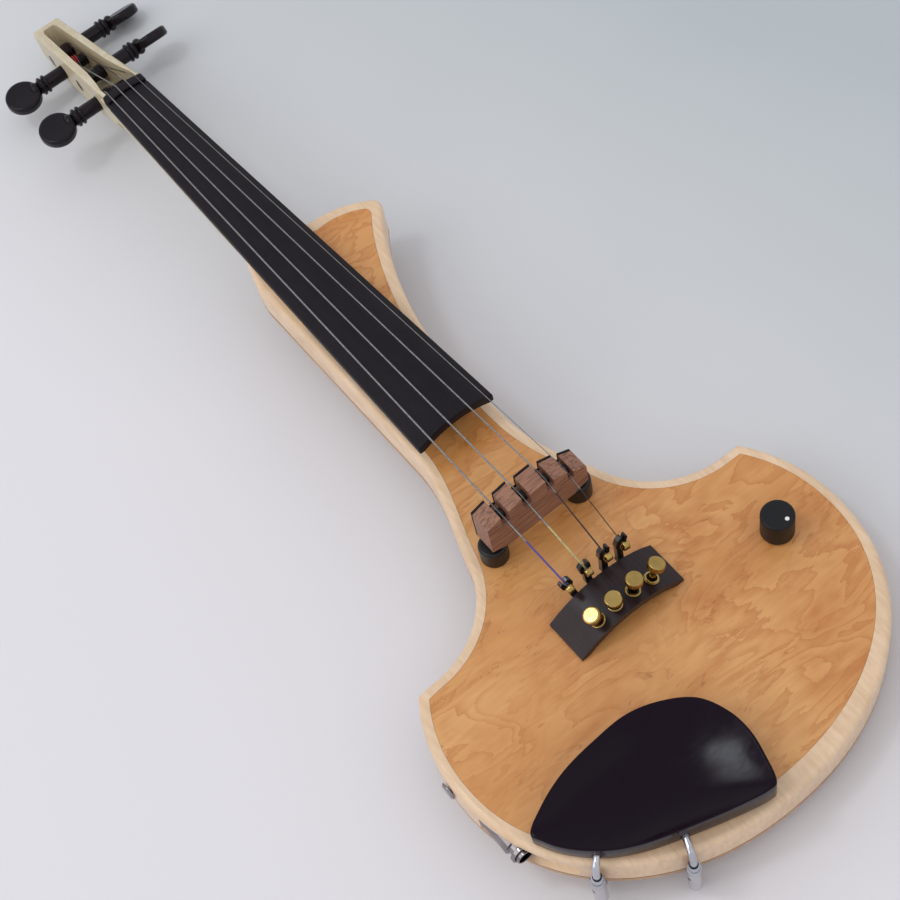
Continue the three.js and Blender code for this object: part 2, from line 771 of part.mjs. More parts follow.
const coverOutline = roundedRectangle(
  controlX, controlY, controlHalfX - coverGap, controlHalfY - coverGap, controlCorner - coverGap,
);
addPiece('cavity_cover', cut(
  raised(coverOutline, 0, coverThickness), ...screwHoles,
  ...screwPlaces.map(([x, y]) => rod(
    [x, y, -overrun], [x, y, coverScrewHeadHeight + coverGap],
    coverScrewHead + coverGap, coverScrewHead + coverGap, smallSides,
  )),
), materials.plastic);
screwPlaces.forEach(([x, y], index) => {
  addPiece(`cover_screw_${index + 1}`, turned([
    [0, coverGap / 2], [coverScrewHead, coverGap / 2], [coverScrewHead, coverScrewHeadHeight],
    [coverScrewShank, coverScrewHeadHeight], [coverScrewShank, coverScrewLength], [0, coverScrewLength],
  ], smallSides).translate(x, y, 0), materials.steel);
});

// Fingerboard, neck and nut

/** Half width of the fingerboard at a distance along it. */
function boardHalf(y) {
  return THREE.MathUtils.mapLinear(y, fingerboardEndY, nutY, fingerboardEndHalf, fingerboardNutHalf);
}

/** Height of the plane between fingerboard and neck. */
function gluePlane(y) {
  return topZ + THREE.MathUtils.mapLinear(y, fingerboardEndY, nutY, fingerboardUnderEnd, fingerboardUnderNut);
}

/** Height of the fingerboard's arched top. */
function boardTop(x, y) {
  const drop = Math.sqrt(fingerboardRadius ** 2 - boardHalf(y) ** 2);
  return gluePlane(y) + fingerboardEdge + Math.sqrt(fingerboardRadius ** 2 - x * x) - drop;
}

/** One cross-section of the fingerboard, hollow below by the given depth. */
function boardSection(y, hollow) {
  const half = boardHalf(y);
  const rim = half - fingerboardScoopRim;
  const shares = Array.from({ length: curveSteps + 1 }, (_, step) => (step * 2) / curveSteps - 1);
  const under = shares.map((share) => [
    -rim * share, y, gluePlane(y) + hollow * (1 - share * share),
  ]);
  const over = shares.map((share) => [half * share, y, boardTop(half * share, y)]);
  return [[half, y, gluePlane(y)], ...under, [-half, y, gluePlane(y)], ...over];
}

const scoopLength = fingerboardScoopEndY - fingerboardEndY;
const boardStations = fingerboardStationShares.map((share) => fingerboardEndY + share * scoopLength);
const boardRings = [...boardStations, nutY].map((y) => {
  const depth = y >= fingerboardScoopEndY ? 0 : fingerboardScoop * (1 - (y - fingerboardEndY) / scoopLength);
  return boardSection(y, depth);
});
addPiece('fingerboard', loft(boardRings, boardRings[0].map(([x, , z]) => [x, z])), materials.ebony);

/** One cross-section of the neck below the glue plane. */
function neckSection(y) {
  const heel = (1 - eased(y, headEndY, headEndY + heelLength)) ** heelFadePower;
  const throat = eased(y, throatStartY, throatEndY);
  const depth = neckDepth - neckDepthFall * eased(y, headEndY, throatStartY)
    + heelDepth * heel + throatDepth * throat;
  const half = boardHalf(Math.min(y, nutY)) - neckInset;
  const power = 2 / (neckExponent - heelExponentDrop * heel);
  return Array.from({ length: 2 * curveSteps + 1 }, (_, step) => {
    const angle = (step / (2 * curveSteps)) * Math.PI;
    const x = half * Math.sign(Math.cos(angle)) * Math.abs(Math.cos(angle)) ** power;
    return [x, y, gluePlane(y) - seatGap / 2 - depth * Math.sin(angle) ** power];
  });
}

const heelStations = heelStationShares.map((share) => headEndY + seatGap + share * heelLength);
const neckStations = neckStationShares.map((share) => THREE.MathUtils.lerp(
  headEndY + heelLength, throatStartY, share,
));
const throatStations = throatStationShares.map((share) => THREE.MathUtils.lerp(
  throatStartY, throatEndY, share,
));
const neckRings = [...heelStations, ...neckStations, ...throatStations, pegboxY + nutLength].map(neckSection);
const neckShaft = loft(neckRings, neckRings[0].map(([x, , z]) => [x, z]));
const tongueHalf = (y) => boardHalf(y) - tongueInset;
const tongueEndY = headEndY + heelLength / 2;
const tongueRings = [neckStartY, headEndY, tongueEndY].map((y) => [
  [tongueHalf(y), y, topZ], [tongueHalf(y), y, gluePlane(y) - seatGap / 2],
  [-tongueHalf(y), y, gluePlane(y) - seatGap / 2], [-tongueHalf(y), y, topZ],
]);
const neckTonguePiece = loft(tongueRings, tongueRings[0].map(([x, , z]) => [x, z]));

/** Moves a shape drawn along the pegbox's top into place. */
function inPegbox(geometry) {
  const place = new THREE.Matrix4().makeTranslation(0, pegboxY, topZ - pegboxDrop)
    .multiply(new THREE.Matrix4().makeRotationX(-pegboxTilt));
  return geometry.applyMatrix4(place);
}

/** Half width of the pegbox at a distance along it. */
function pegboxHalf(along) {
  return THREE.MathUtils.mapLinear(along, 0, pegboxLength, pegboxNearHalf, pegboxFarHalf);
}

const pegboxRings = pegboxDepths.map((depth, index) => {
  const along = pegboxLength * pegboxStationShares[index];
  const half = pegboxHalf(along);
  const low = pegboxCornerRound;
  const corner = arc([half - low, low - depth], low, 0, -Math.PI / 2, roundSteps);
  const right = [[half - pegboxTopRound, 0], [half, -pegboxTopRound], ...corner];
  const left = right.map(([x, height]) => [-x, height]).reverse();
  return [...right, ...left].map(([x, height]) => [x, along, height]);
});
const cavityEnd = pegboxLength - cavityEndWall;
const cavityPlan = [
  [cavityThroatHalf, cavityStart], [cavityThroatHalf, cavityThroatLength],
  [cavityShoulderHalf, cavityShoulder], [cavityNearHalf, cavityTaperStart],
  [cavityFarHalf, cavityEnd - cavityEndRound / 2], [cavityFarHalf - cavityEndTaper, cavityEnd],
];
const cavityOutlinePlan = [...cavityPlan, ...cavityPlan.map(([x, along]) => [-x, along]).reverse()];
const cavitySide = [
  [cavityStart, overrun], [cavityStart, -cavityThroatDepth],
  [cavityThroatLength, cavityThroatStep - cavityDepth], [cavityThroatLength + cavityFloorRun, -cavityDepth],
  ...arc(
    [cavityEnd - cavityEndRound, cavityEndRound - cavityDepth], cavityEndRound, -Math.PI / 2, 0, roundSteps,
  ),
  [cavityEnd, overrun],
];
const pegboxCavity = solid(inPegbox(raised(cavityOutlinePlan, -cavityDepth - overrun, 2 * overrun)))
  .intersect(solid(inPegbox(sideways(cavitySide, -pegboxNearHalf, pegboxNearHalf))));
const pegPlaces = Object.fromEntries(Object.entries(pegs).map(([name, { alongShare }]) => [
  name, alongShare * pegboxLength,
]));

/** Radius of a peg's tapered shaft at a distance outwards from the middle of the pegbox. */
function pegRadius(along, outwards) {
  const half = pegboxHalf(along);
  return THREE.MathUtils.mapLinear(outwards, -half, half, pegTipRadius, pegShaftRadius);
}

const pegHoles = Object.entries(pegs).map(([name, { side }]) => {
  const along = pegPlaces[name];
  const out = 2 * pegboxHalf(along);
  return inPegbox(rod(
    [-side * out, along, -pegDepth], [side * out, along, -pegDepth],
    pegRadius(along, -out) + pegRunning, pegRadius(along, out) + pegRunning, smallSides,
  ));
});
const nutSeatY = pegboxY - bearingGap;
const nutSeat = sideways([
  [headEndY + heelLength, gluePlane(headEndY + heelLength) - seatGap / 2],
  [nutSeatY, gluePlane(pegboxY) - seatGap / 2], [nutSeatY, topZ + pegboxDrop],
  [headEndY + heelLength, topZ + pegboxLength],
], -2 * pegboxNearHalf, 2 * pegboxNearHalf);
addPiece('neck', cut(
  united(neckShaft, neckTonguePiece, inPegbox(loft(pegboxRings, pegboxRings[0].map(([x, , z]) => [x, z])))),
  nutSeat, pegboxCavity, ...pegHoles,
), materials.maple);

const nutStart = nutY + seatGap;
const nutEnd = nutStart + nutLength;
const nutStringX = Object.fromEntries(stringNames.map((name, index) => [
  name, (index - (stringNames.length - 1) / 2) * nutStringPitch,
]));
const nutStringZ = (name) => boardTop(nutStringX[name], nutY) + actionAtNut;
const nutRings = [nutStart, nutEnd].map((y) => {
  const shares = Array.from({ length: curveSteps + 1 }, (_, step) => (step * 2) / curveSteps - 1);
  const top = shares.map((share) => [nutHalf * share, y, boardTop(nutHalf * share, nutY) + nutCover]);
  return [[nutHalf, y, gluePlane(y)], [-nutHalf, y, gluePlane(y)], ...top];
});
const nutSlots = stringNames.map((name) => {
  const half = stringRadius[name] + bearingGap;
  return block(
    [nutStringX[name] - half, nutStart - overrun, nutStringZ(name) - half],
    [nutStringX[name] + half, nutEnd + overrun, topZ + pegboxDrop * 2],
  );
});
addPiece('nut', cut(loft(nutRings, nutRings[0].map(([x, , z]) => [x, z])), ...nutSlots), materials.ebony);

// Pegs
for (const [name, { side, turn }] of Object.entries(pegs)) {
  const along = pegPlaces[name];
  const half = pegboxHalf(along);
  const shaftEnd = half + (side < 0 ? pegShaftOutBass : pegShaftOutTreble);
  const ringStep = pegRingWidth + pegRingGap;
  const bulbStart = shaftEnd + 2 * ringStep;
  const headCentre = bulbStart + pegBulbLength * pegHeadSinkShare + pegHeadRadius;
  const shaft = turned([
    [0, -half], [pegTipRadius, -half], [pegShaftRadius, half], [pegShaftRadius, shaftEnd],
    ...[shaftEnd, shaftEnd + ringStep].flatMap((start) => [
      [pegRingRadius, start], [pegRingRadius, start + pegRingWidth],
      [pegGrooveRadius, start + pegRingWidth], [pegGrooveRadius, start + ringStep],
    ]),
    ...pegBulbShares.map(([wide, long]) => [pegBulbRadius * wide, bulbStart + pegBulbLength * long]),
    [pegHeadHalf * pegNeckShares[0], bulbStart + pegBulbLength],
    [pegHeadHalf * pegNeckShares[1], headCentre], [0, headCentre],
  ], pegSides).rotateY((side * Math.PI) / 2);
  const rimRadius = pegHeadRadius - pegHeadRound;
  const rimHeight = pegHeadHalf - pegHeadRound;
  const head = turned([
    [0, -pegHeadHalf], ...arc([rimRadius, -rimHeight], pegHeadRound, -Math.PI / 2, 0, edgeSteps),
    ...arc([rimRadius, rimHeight], pegHeadRound, 0, Math.PI / 2, edgeSteps), [0, pegHeadHalf],
  ], circleSides).rotateX(turn).translate(side * headCentre, 0, 0);
  addPiece(`peg_${name}`, united(
    ...[shaft, head].map((part) => inPegbox(part.translate(0, along, -pegDepth))),
  ), materials.ebony);
}

// Bridge, its two feet and a saddle under each string
const bridgeTop = (name) => topZ + bridgeStringHeight[name];
const slotFloor = (name) => bridgeTop(name) - stringRadius[name] - bearingGap - saddleHeight;
const slotSides = stringNames.map((name) => [
  bridgeStringX[name] - bridgeSlotHalf[name], bridgeStringX[name] + bridgeSlotHalf[name],
]);
const blockSides = bridgeBlockTops.map((_, index) => [
  index ? slotSides[index - 1][1] : bridgeEnds[0],
  index < slotSides.length ? slotSides[index][0] : bridgeEnds[1],
]);
const bridgeTops = bridgeBlockTops.flatMap(([left, right], index) => {
  const top = [[blockSides[index][0], topZ + left], [blockSides[index][1], topZ + right]];
  if (index === slotSides.length) return top;
  const floor = slotFloor(stringNames[index]);
  return [...top, ...slotSides[index].map((x) => [x, floor])];
});
const bridgeShape = [
  [bridgeEnds[0], topZ + bridgeBottom + bridgeEndRise], [bridgeEnds[0] + bridgeEndRun, topZ + bridgeBottom],
  [bridgeEnds[1] - bridgeEndRun, topZ + bridgeBottom], [bridgeEnds[1], topZ + bridgeBottom + bridgeEndRise],
  ...bridgeTops.reverse(),
];
const studHoles = Object.values(bridgeFootX).map((x) => rod(
  [x, 0, topZ], [x, 0, topZ + bridgeBottom + bridgeStudLength],
  bridgeStudRadius + seatGap, bridgeStudRadius + seatGap, smallSides,
));
addPiece('bridge_block', cut(
  lengthways(bridgeShape, -bridgeHalfDepth, bridgeHalfDepth), ...studHoles,
), materials.walnut);
const facingStart = bridgeHalfDepth + bridgeFacingGap;
addPiece('bridge_facing', lengthways(bridgeShape, facingStart, facingStart + bridgeFacing), materials.ebony);
stringNames.forEach((name, index) => {
  const [from, to] = slotSides[index];
  const floor = slotFloor(name);
  const crown = arc(
    [0, floor + saddleHeight / 2], saddleHeight / 2,
    Math.PI - saddleCrownAngle, saddleCrownAngle, 2 * roundSteps,
  ).map(([y, z]) => [y * (saddleHalfDepth / saddleHeight) * 2, z]);
  const shape = [[saddleHalfDepth, floor], ...crown.reverse(), [-saddleHalfDepth, floor]];
  addPiece(`saddle_${name}`, sideways(shape, from + saddleSideGap, to - saddleSideGap), materials.plastic);
});
for (const [place, x] of Object.entries(bridgeFootX)) {
  const top = bridgeBottom - bridgeFootGap;
  addPiece(`bridge_foot_${place}`, turned([
    [0, 0], [bridgeFootRadius, 0], [bridgeFootRadius, top - bridgeFootEdge],
    [bridgeFootRadius - bridgeFootEdge, top],
    [bridgeStudRadius, top], [bridgeStudRadius, bridgeBottom + bridgeStudLength - seatGap],
    [0, bridgeBottom + bridgeStudLength - seatGap],
  ]).translate(x, 0, topZ), materials.plastic);
}

// Tailpiece and fine tuners
const archAxisZ = topZ + archRise - archRadius;
const tunerLean = (name) => Math.asin(tunerX[name] / archRadius);

/** Moves a shape drawn upright above the arch's axis to the place of one tuner. */
function leaned(geometry, name) {
  const place = new THREE.Matrix4().makeTranslation(0, 0, archAxisZ)
    .multiply(new THREE.Matrix4().makeRotationY(tunerLean(name)));
  return geometry.applyMatrix4(place);
}

const archInner = archRadius - archThickness;
const archOuterAngle = Math.asin(archHalf / archRadius);
const archInnerAngle = Math.acos((topZ - archAxisZ) / archInner);
const archSteps = 2 * curveSteps;
const archShape = [
  [archHalf, topZ],
  ...arc([0, archAxisZ], archRadius, Math.PI / 2 - archOuterAngle, Math.PI / 2 + archOuterAngle, archSteps),
  [-archHalf, topZ],
  ...arc([0, archAxisZ], archInner, Math.PI / 2 + archInnerAngle, Math.PI / 2 - archInnerAngle, archSteps),
];
const lugs = stringNames.flatMap((name) => [-1, 1].map((side) => {
  const ends = [side * lugInner, side * (lugInner + lugThickness)].sort((a, b) => a - b);
  return leaned(block(
    [ends[0], leverPivotY - lugHalfLength, lugBottom],
    [ends[1], leverPivotY + lugHalfLength, archInner + archThickness / 2],
  ), name);
}));
const leverMiddle = (leverLow + leverHigh) / 2;
const lugHoles = stringNames.map((name) => leaned(rod(
  [-2 * trunnionHalf, leverPivotY, leverMiddle], [2 * trunnionHalf, leverPivotY, leverMiddle],
  lugHole, lugHole, fineSides,
), name));
const underLugs = block(
  [-archHalf, archRearY, 0], [archHalf, archFrontY + overrun, topZ + seatGap],
);
const tunerHoles = stringNames.map((name) => leaned(rod(
  [0, tunerY, leverHigh], [0, tunerY, archRadius + overrun], screwHole, screwHole, fineSides,
), name));
addPiece('tailpiece', cut(
  united(lengthways(archShape, archRearY, archFrontY), cut(united(...lugs), underLugs)),
  ...lugHoles, ...tunerHoles,
), materials.ebony);

const stringTails = {};
for (const name of stringNames) {
  const knobTop = archRadius + knobTopRise[name];
  addPiece(`tuner_screw_${name}`, leaned(turned([
    [0, leverHigh + seatGap], [screwRadius, leverHigh + seatGap], [screwRadius, knobTop - knobHeight],
    [knobRadius - knobEdge, knobTop - knobHeight], [knobRadius, knobTop - knobHeight + knobEdge],
    [knobRadius, knobTop - knobEdge], [knobRadius - knobEdge, knobTop], [0, knobTop],
  ], pegSides).translate(0, tunerY, 0), name), materials.gold);
  addPiece(`tuner_collar_${name}`, leaned(turned([
    [collarInner, archRadius + collarSeat], [collarOuter, archRadius + collarSeat],
    [collarOuter, archRadius + collarHeight], [collarInner, archRadius + collarHeight],
    [collarInner, archRadius + collarSeat],
  ], pegSides).translate(0, tunerY, 0), name), materials.gold);
  const shift = ballShift[name];
  const forkLow = ballRise - forkSlotDepth / 2;
  const forkHigh = forkLow + forkHeight;
  const forkShoulder = forkLow + forkHeight * forkShoulderShare;
  const post = [
    [-leverHalf, leverLow], [leverHalf, leverLow], [leverHalf, leverHigh],
    [shift + forkNeck, forkLow - forkNeckDrop], [shift + forkHalf, forkLow], [shift + forkHalf, forkShoulder],
    [shift + forkHalf - forkTipInset, forkHigh], [shift + forkSlot, forkHigh],
    [shift + forkSlot, ballRise - forkFloorDrop], [shift - forkSlot, ballRise - forkFloorDrop],
    [shift - forkSlot, forkHigh], [shift - forkHalf + forkTipInset, forkHigh],
    [shift - forkHalf, forkShoulder], [shift - forkHalf, forkLow],
    [shift - forkNeck, forkLow - forkNeckDrop], [-leverHalf, leverHigh],
  ];
  addPiece(`tuner_lever_${name}`, united(
    leaned(block([-leverHalf, leverTailY, leverLow], [leverHalf, leverPostFrontY, leverHigh]), name),
    leaned(lengthways(post, leverPostRearY, leverPostFrontY), name),
    leaned(rod(
      [-trunnionHalf, leverPivotY, leverMiddle], [trunnionHalf, leverPivotY, leverMiddle],
      trunnionRadius, trunnionRadius, fineSides,
    ), name),
  ), materials.blackMetal);
  const ballY = leverPostRearY - ballGap - ballRadius;
  addPiece(`ball_end_${name}`, leaned(turned([
    [ballHole, -ballHalf], [ballRadius - ballEdge, -ballHalf], [ballRadius, -ballHalf / 2],
    [ballRadius, ballHalf / 2], [ballRadius - ballEdge, ballHalf], [ballHole, ballHalf], [ballHole, -ballHalf],
  ], fineSides).rotateY(Math.PI / 2).translate(shift, ballY, ballRise), name), materials.gold);
  const tail = new THREE.Vector3(shift, leverPostRearY, ballRise);
  stringTails[name] = leaned(tail, name);
}

// Strings, each wound round its peg
let leastGap = Infinity;
for (const name of stringNames) {
  const radius = stringRadius[name];
  const { side } = pegs[name];
  const along = pegPlaces[name];
  const coilX = windingX[name];
  const coilRadius = pegRadius(along, side * coilX) + windingLift + radius;
  const pitch = 2 * radius + windingGap;
  const nutX = nutStringX[name];
  const nutZ = nutStringZ(name);
  const toPegbox = new THREE.Matrix4().makeTranslation(0, pegboxY, topZ - pegboxDrop)
    .multiply(new THREE.Matrix4().makeRotationX(-pegboxTilt));
  const leave = new THREE.Vector3(nutX, nutEnd + seatGap, nutZ).applyMatrix4(toPegbox.clone().invert());
  const reach = Math.hypot(along - leave.y, leave.z + pegDepth);
  const descent = Math.atan2(leave.z + pegDepth, along - leave.y) - Math.asin(coilRadius / reach);
  const coilWay = Math.sign(coilX - nutX);
  const coil = Array.from({ length: windingTurns * windingSteps + 1 }, (_, step) => {
    const turns = step / windingSteps;
    const angle = Math.PI / 2 - descent - turns * fullTurn;
    return new THREE.Vector3(
      coilX + coilWay * (turns - windingTurns / 2) * pitch,
      along + coilRadius * Math.cos(angle),
      coilRadius * Math.sin(angle) - pegDepth,
    ).applyMatrix4(toPegbox);
  });
  const points = [
    stringTails[name], new THREE.Vector3(bridgeStringX[name], -bearingHalf, bridgeTop(name)),
    new THREE.Vector3(bridgeStringX[name], bearingHalf, bridgeTop(name)),
    new THREE.Vector3(nutX, nutStart, nutZ), new THREE.Vector3(nutX, nutEnd + seatGap, nutZ), ...coil,
  ];
  addPiece(`string_${name}`, tube(points, radius, stringSides), materials.steel);
  coil.forEach((point, index) => {
    coil.slice(index + Math.round(windingSteps / 2)).forEach((other) => {
      leastGap = Math.min(leastGap, point.distanceTo(other) - 2 * radius);
    });
  });
}
console.log(`least gap between turns of a string: ${leastGap.toFixed(3)} mm`);

// Chinrest
const onBout = ([x, y]) => [x * boutHalfWidth, boutCentreY + y * boutTailReach];
const chinrestPoints = chinrestOutlineShares.map((place) => new THREE.Vector3(...onBout(place), 0));
const chinrestEdge = new THREE.CatmullRomCurve3(chinrestPoints, true, 'centripetal')
  .getPoints(chinrestSteps).slice(0, -1);
const [dishX, dishY] = onBout(chinrestDishCentreShares);
const [, chinrestHeadY] = onBout([0, chinrestHeadShare]);
const [corkEndX, chinrestTailY] = onBout([corkEndShare, chinrestTailShare]);
const chinrestRim = (x) => topZ + THREE.MathUtils.mapLinear(
  x, chinrestPoints[0].x, 0, chinrestRimLeft, chinrestRimRight,
);
const chinrestLow = (point) => {
  const tailward = eased(-point.y, -chinrestHeadY, -chinrestTailY);
  const wrapped = point.x < chinrestPoints[1].x ? 1 : tailward;
  return THREE.MathUtils.lerp(chinrestRim(point.x) - chinrestHeadEdge, topZ + chinrestUnder, wrapped);
};

/** Part of the way from the dish's centre to a point of the chinrest's edge. */
function drawnIn(point, share) {
  return [THREE.MathUtils.lerp(dishX, point.x, share), THREE.MathUtils.lerp(dishY, point.y, share)];
}

/** A ring of the chinrest: the edge drawn towards the dish's centre by a share, at given heights. */
function chinrestRing(share, height) {
  return chinrestEdge.map((point) => [...drawnIn(point, share), height(point)]);
}

const dishFloor = topZ + chinrestDishHeight;
const lipShare = 1 - chinrestLip / (dishX - chinrestPoints[0].x);
const dishRings = chinrestDishShares.map((share) => chinrestRing(share, (point) => THREE.MathUtils.lerp(
  dishFloor, chinrestRim(point.x), (share / lipShare) ** chinrestDishPower,
)));
const underRings = [...chinrestUnderShares].reverse().map((share) => chinrestRing(
  share, (point) => THREE.MathUtils.lerp(topZ + chinrestUnder, chinrestLow(point), share),
));
const chinrestRings = [
  ...underRings,
  chinrestRing(1, chinrestLow),
  chinrestRing(1, (point) => chinrestRim(point.x) - chinrestLipRound),
  chinrestRing(lipShare, (point) => chinrestRim(point.x)),
  ...dishRings,
];

// Each clamp stands square to the body's edge, at its bearing from the middle of the bout
const clampWays = {};
const clampPlaces = {};
for (const [place, bearing] of Object.entries(clampBearing)) {
  const edge = [Math.cos(bearing), Math.sin(bearing)].map((share) => share ** (2 / boutExponent));
  const way = new THREE.Vector2(
    -(edge[0] ** (boutExponent - 1)) / boutHalfWidth, -(edge[1] ** (boutExponent - 1)) / boutTailReach,
  ).normalize();
  const [x, y] = onBout([-edge[0], -edge[1]]);
  clampWays[place] = way;
  clampPlaces[place] = [
    x + way.x * (barrelRadius + clampStandOff), y + way.y * (barrelRadius + clampStandOff),
  ];
}

/** A point at a distance inwards from a clamp's barrel. */
function inwards(place, distance, z) {
  const [x, y] = clampPlaces[place];
  const way = clampWays[place];
  return [x - way.x * distance, y - way.y * distance, z];
}

const rodZ = topZ + clampRodHeight;
const chinrestBores = Object.keys(clampPlaces).map((place) => rod(
  inwards(place, 0, rodZ), inwards(place, clampReach + seatGap, rodZ),
  clampRodRadius + clampBoreGap, clampRodRadius + clampBoreGap, smallSides,
));
const chinrestPlan = chinrestEdge.map((point) => [point.x, point.y]);
addPiece('chinrest_plate', cut(loft(chinrestRings, chinrestPlan), ...chinrestBores), materials.polished);

const tailEdge = chinrestEdge.filter((point) => point.y < chinrestTailY - overrun && point.x < corkEndX);
const corkShape = [
  ...tailEdge.map((point) => drawnIn(point, corkOuterShare)),
  ...tailEdge.map((point) => drawnIn(point, corkInnerShare)).reverse(),
];
addPiece('chinrest_cork', raised(corkShape, topZ, topZ + chinrestUnder), materials.cork);

// Chinrest clamp

/** A level run towards a barrel's axis and a quarter bend into it, downwards or upwards. */
function elbow(place, z, drop, levelFrom) {
  return [
    inwards(place, levelFrom, z),
    ...arc([0, 0], clampBend, Math.PI / 2, 0, elbowSteps).map(([level, rise]) => inwards(
      place, clampBend - level, z + drop * (clampBend - rise),
    )),
  ];
}

for (const [place, [x, y]] of Object.entries(clampPlaces)) {
  const upper = [...elbow(place, rodZ, -1, clampReach), [x, y, topZ + barrelTop - clampRodEnd]];
  addPiece(`clamp_rod_${place}`, tube(
    upper.map((point) => new THREE.Vector3(...point)), clampRodRadius, smallSides,
  ), materials.chrome);
  const barrel = turned([
    [barrelBore, topZ + barrelBottom], [barrelRadius, topZ + barrelBottom],
    [barrelRadius, topZ + barrelTop - barrelCollar], [barrelCollarRadius, topZ + barrelTop - barrelCollar],
    [barrelCollarRadius, topZ + barrelTop], [barrelBore, topZ + barrelTop], [barrelBore, topZ + barrelBottom],
  ], pegSides).translate(x, y, 0);
  const middle = topZ + (barrelTop + barrelBottom) / 2;
  addPiece(`clamp_barrel_${place}`, cut(barrel, rod(
    [x - 2 * barrelRadius, y, middle], [x + 2 * barrelRadius, y, middle],
    barrelCrossHole, barrelCrossHole, smallSides / 2,
  )), materials.chrome);
}

const footHigh = -footLift;
const footLow = footHigh - footThickness;
const footEnds = Object.keys(clampPlaces).map((place) => inwards(place, footReach, 0));
const footAlong = new THREE.Vector2(footEnds[1][0] - footEnds[0][0], footEnds[1][1] - footEnds[0][1]);
const footAngle = footAlong.angle();
const footHalfLength = footAlong.length() / 2 + footHalfWidth;
const footMiddle = [(footEnds[0][0] + footEnds[1][0]) / 2, (footEnds[0][1] + footEnds[1][1]) / 2];
const footOutline = roundedRectangle(0, 0, footHalfLength, footHalfWidth, footHalfWidth / 2);
const footPlate = raised(footOutline, footLow, footHigh).rotateZ(footAngle).translate(...footMiddle, 0);
const footRods = Object.entries(clampPlaces).map(([place, [x, y]]) => {
  const level = -footRodDrop;
  const path = [
    inwards(place, footReach, footLow + footThickness / 2),
    ...arc([footReach - footBend, level + footBend], footBend, 0, -Math.PI / 2, roundSteps)
      .map(([distance, z]) => inwards(place, distance, z)),
    ...elbow(place, level, 1, footReach - 2 * footBend),
    [x, y, topZ + barrelBottom + footRodEngaged],
  ];
  return tube(path.map((point) => new THREE.Vector3(...point)), clampRodRadius, smallSides);
});
addPiece('clamp_foot', united(footPlate, ...footRods), materials.chrome);
const footCork = raised(
  inset(footOutline.map((point) => new THREE.Vector2(...point)), footCorkInset), footHigh, 0,
).rotateZ(footAngle).translate(...footMiddle, 0);
addPiece('clamp_foot_cork', footCork, materials.cork);

// Volume control
const volumeBottom = topZ + volumeLift;
const dotPlace = [dotReach * Math.cos(dotHeading), dotReach * Math.sin(dotHeading)];
addPiece('volume_knob', cut(
  turned([
    [0, volumeBottom], [volumeRadius, volumeBottom], [volumeRadius, topZ + volumeTop - volumeEdge],
    [volumeRadius - volumeEdge, topZ + volumeTop], [0, topZ + volumeTop],
  ]).translate(volumeX, volumeY, 0),
  rod([volumeX, volumeY, topZ], [volumeX, volumeY, volumeBottom + volumeRecess], volumeRecessRadius),
  rod(
    [volumeX, volumeY, topZ], [volumeX, volumeY, topZ + volumeShaftDepth],
    volumeShaftHole, volumeShaftHole, smallSides,
  ),
  rod(
    [volumeX + dotPlace[0], volumeY + dotPlace[1], topZ + volumeTop - dotThickness],
    [volumeX + dotPlace[0], volumeY + dotPlace[1], topZ + volumeTop + overrun],
    dotRadius + veneerGap, dotRadius + veneerGap, smallSides,
  ),
), materials.plastic);
addPiece('volume_dot', rod(
  [volumeX + dotPlace[0], volumeY + dotPlace[1], topZ + volumeTop - dotThickness],
  [volumeX + dotPlace[0], volumeY + dotPlace[1], topZ + volumeTop],
  dotRadius, dotRadius, smallSides,
), materials.white);
const potTop = topZ - controlRoof;
const bushTop = topZ + potBushRise;
addPiece('potentiometer', turned([
  [0, potTop - potHeight], [potRadius, potTop - potHeight], [potRadius, potTop], [potBushRadius, potTop],
  [potBushRadius, bushTop], [potBushHole, bushTop], [potBushHole, potTop], [0, potTop],
]).translate(volumeX, volumeY, 0), materials.steel);
addPiece('pot_shaft', rod(
  [volumeX, volumeY, potTop + seatGap], [volumeX, volumeY, topZ + potShaftTop],
  potShaftRadius, potShaftRadius, smallSides,
), materials.steel);
addPiece('pot_nut', cut(
  rod([volumeX, volumeY, topZ], [volumeX, volumeY, topZ + potNutHeight], potNutAcross, potNutAcross, nutSides),
  rod([volumeX, volumeY, topZ - overrun], [volumeX, volumeY, bushTop], potBushRadius + seatGap),
), materials.steel);

// Output jack and strap button
const jackProfile = [
  [0, -jackRearY], [jackRadius, -jackRearY], [jackRadius, -jackShoulderY - veneerGap],
  [jackBushRadius, -jackShoulderY - veneerGap], [jackBushRadius, -jackMouthY], [jackBore, -jackMouthY],
  [jackBore, -jackBoreEndY], [0, -jackBoreEndY],
];
addPiece(
  'output_jack', turned(jackProfile).rotateX(Math.PI / 2).translate(jackX, 0, jackHeight), materials.chrome,
);
const jackNutStart = -jackShoulderY + jackWall + veneerGap;
addPiece('jack_nut', turned([
  [jackBushRadius + seatGap, jackNutStart], [jackNutRadius, jackNutStart],
  [jackNutRadius, jackNutStart + jackNutLength], [jackBushRadius + seatGap, jackNutStart + jackNutLength],
  [jackBushRadius + seatGap, jackNutStart],
]).rotateX(Math.PI / 2).translate(jackX, 0, jackHeight), materials.chrome);
addPiece('strap_button', turned([
  [0, seatGap - buttonShankLength], [buttonShankRadius, seatGap - buttonShankLength],
  [buttonShankRadius, seatGap], [buttonRadius, seatGap], [buttonRadius, buttonThickness * buttonRimShare],
  [buttonRadius * buttonFaceShare, seatGap + buttonThickness], [0, seatGap + buttonThickness],
], smallSides).rotateY(-Math.PI / 2).translate(-boutHalfWidth, buttonY, buttonHeight), materials.chrome);

export default violin;
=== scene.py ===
# Electric violin with a flat laminated body, shown lying on a pale table.
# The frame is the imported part: metres, +Z out of the top, +Y towards the head, +X the treble side.
import contextlib
import json
import math

import bmesh
import bpy
import numpy as np
from mathutils import Matrix, Vector


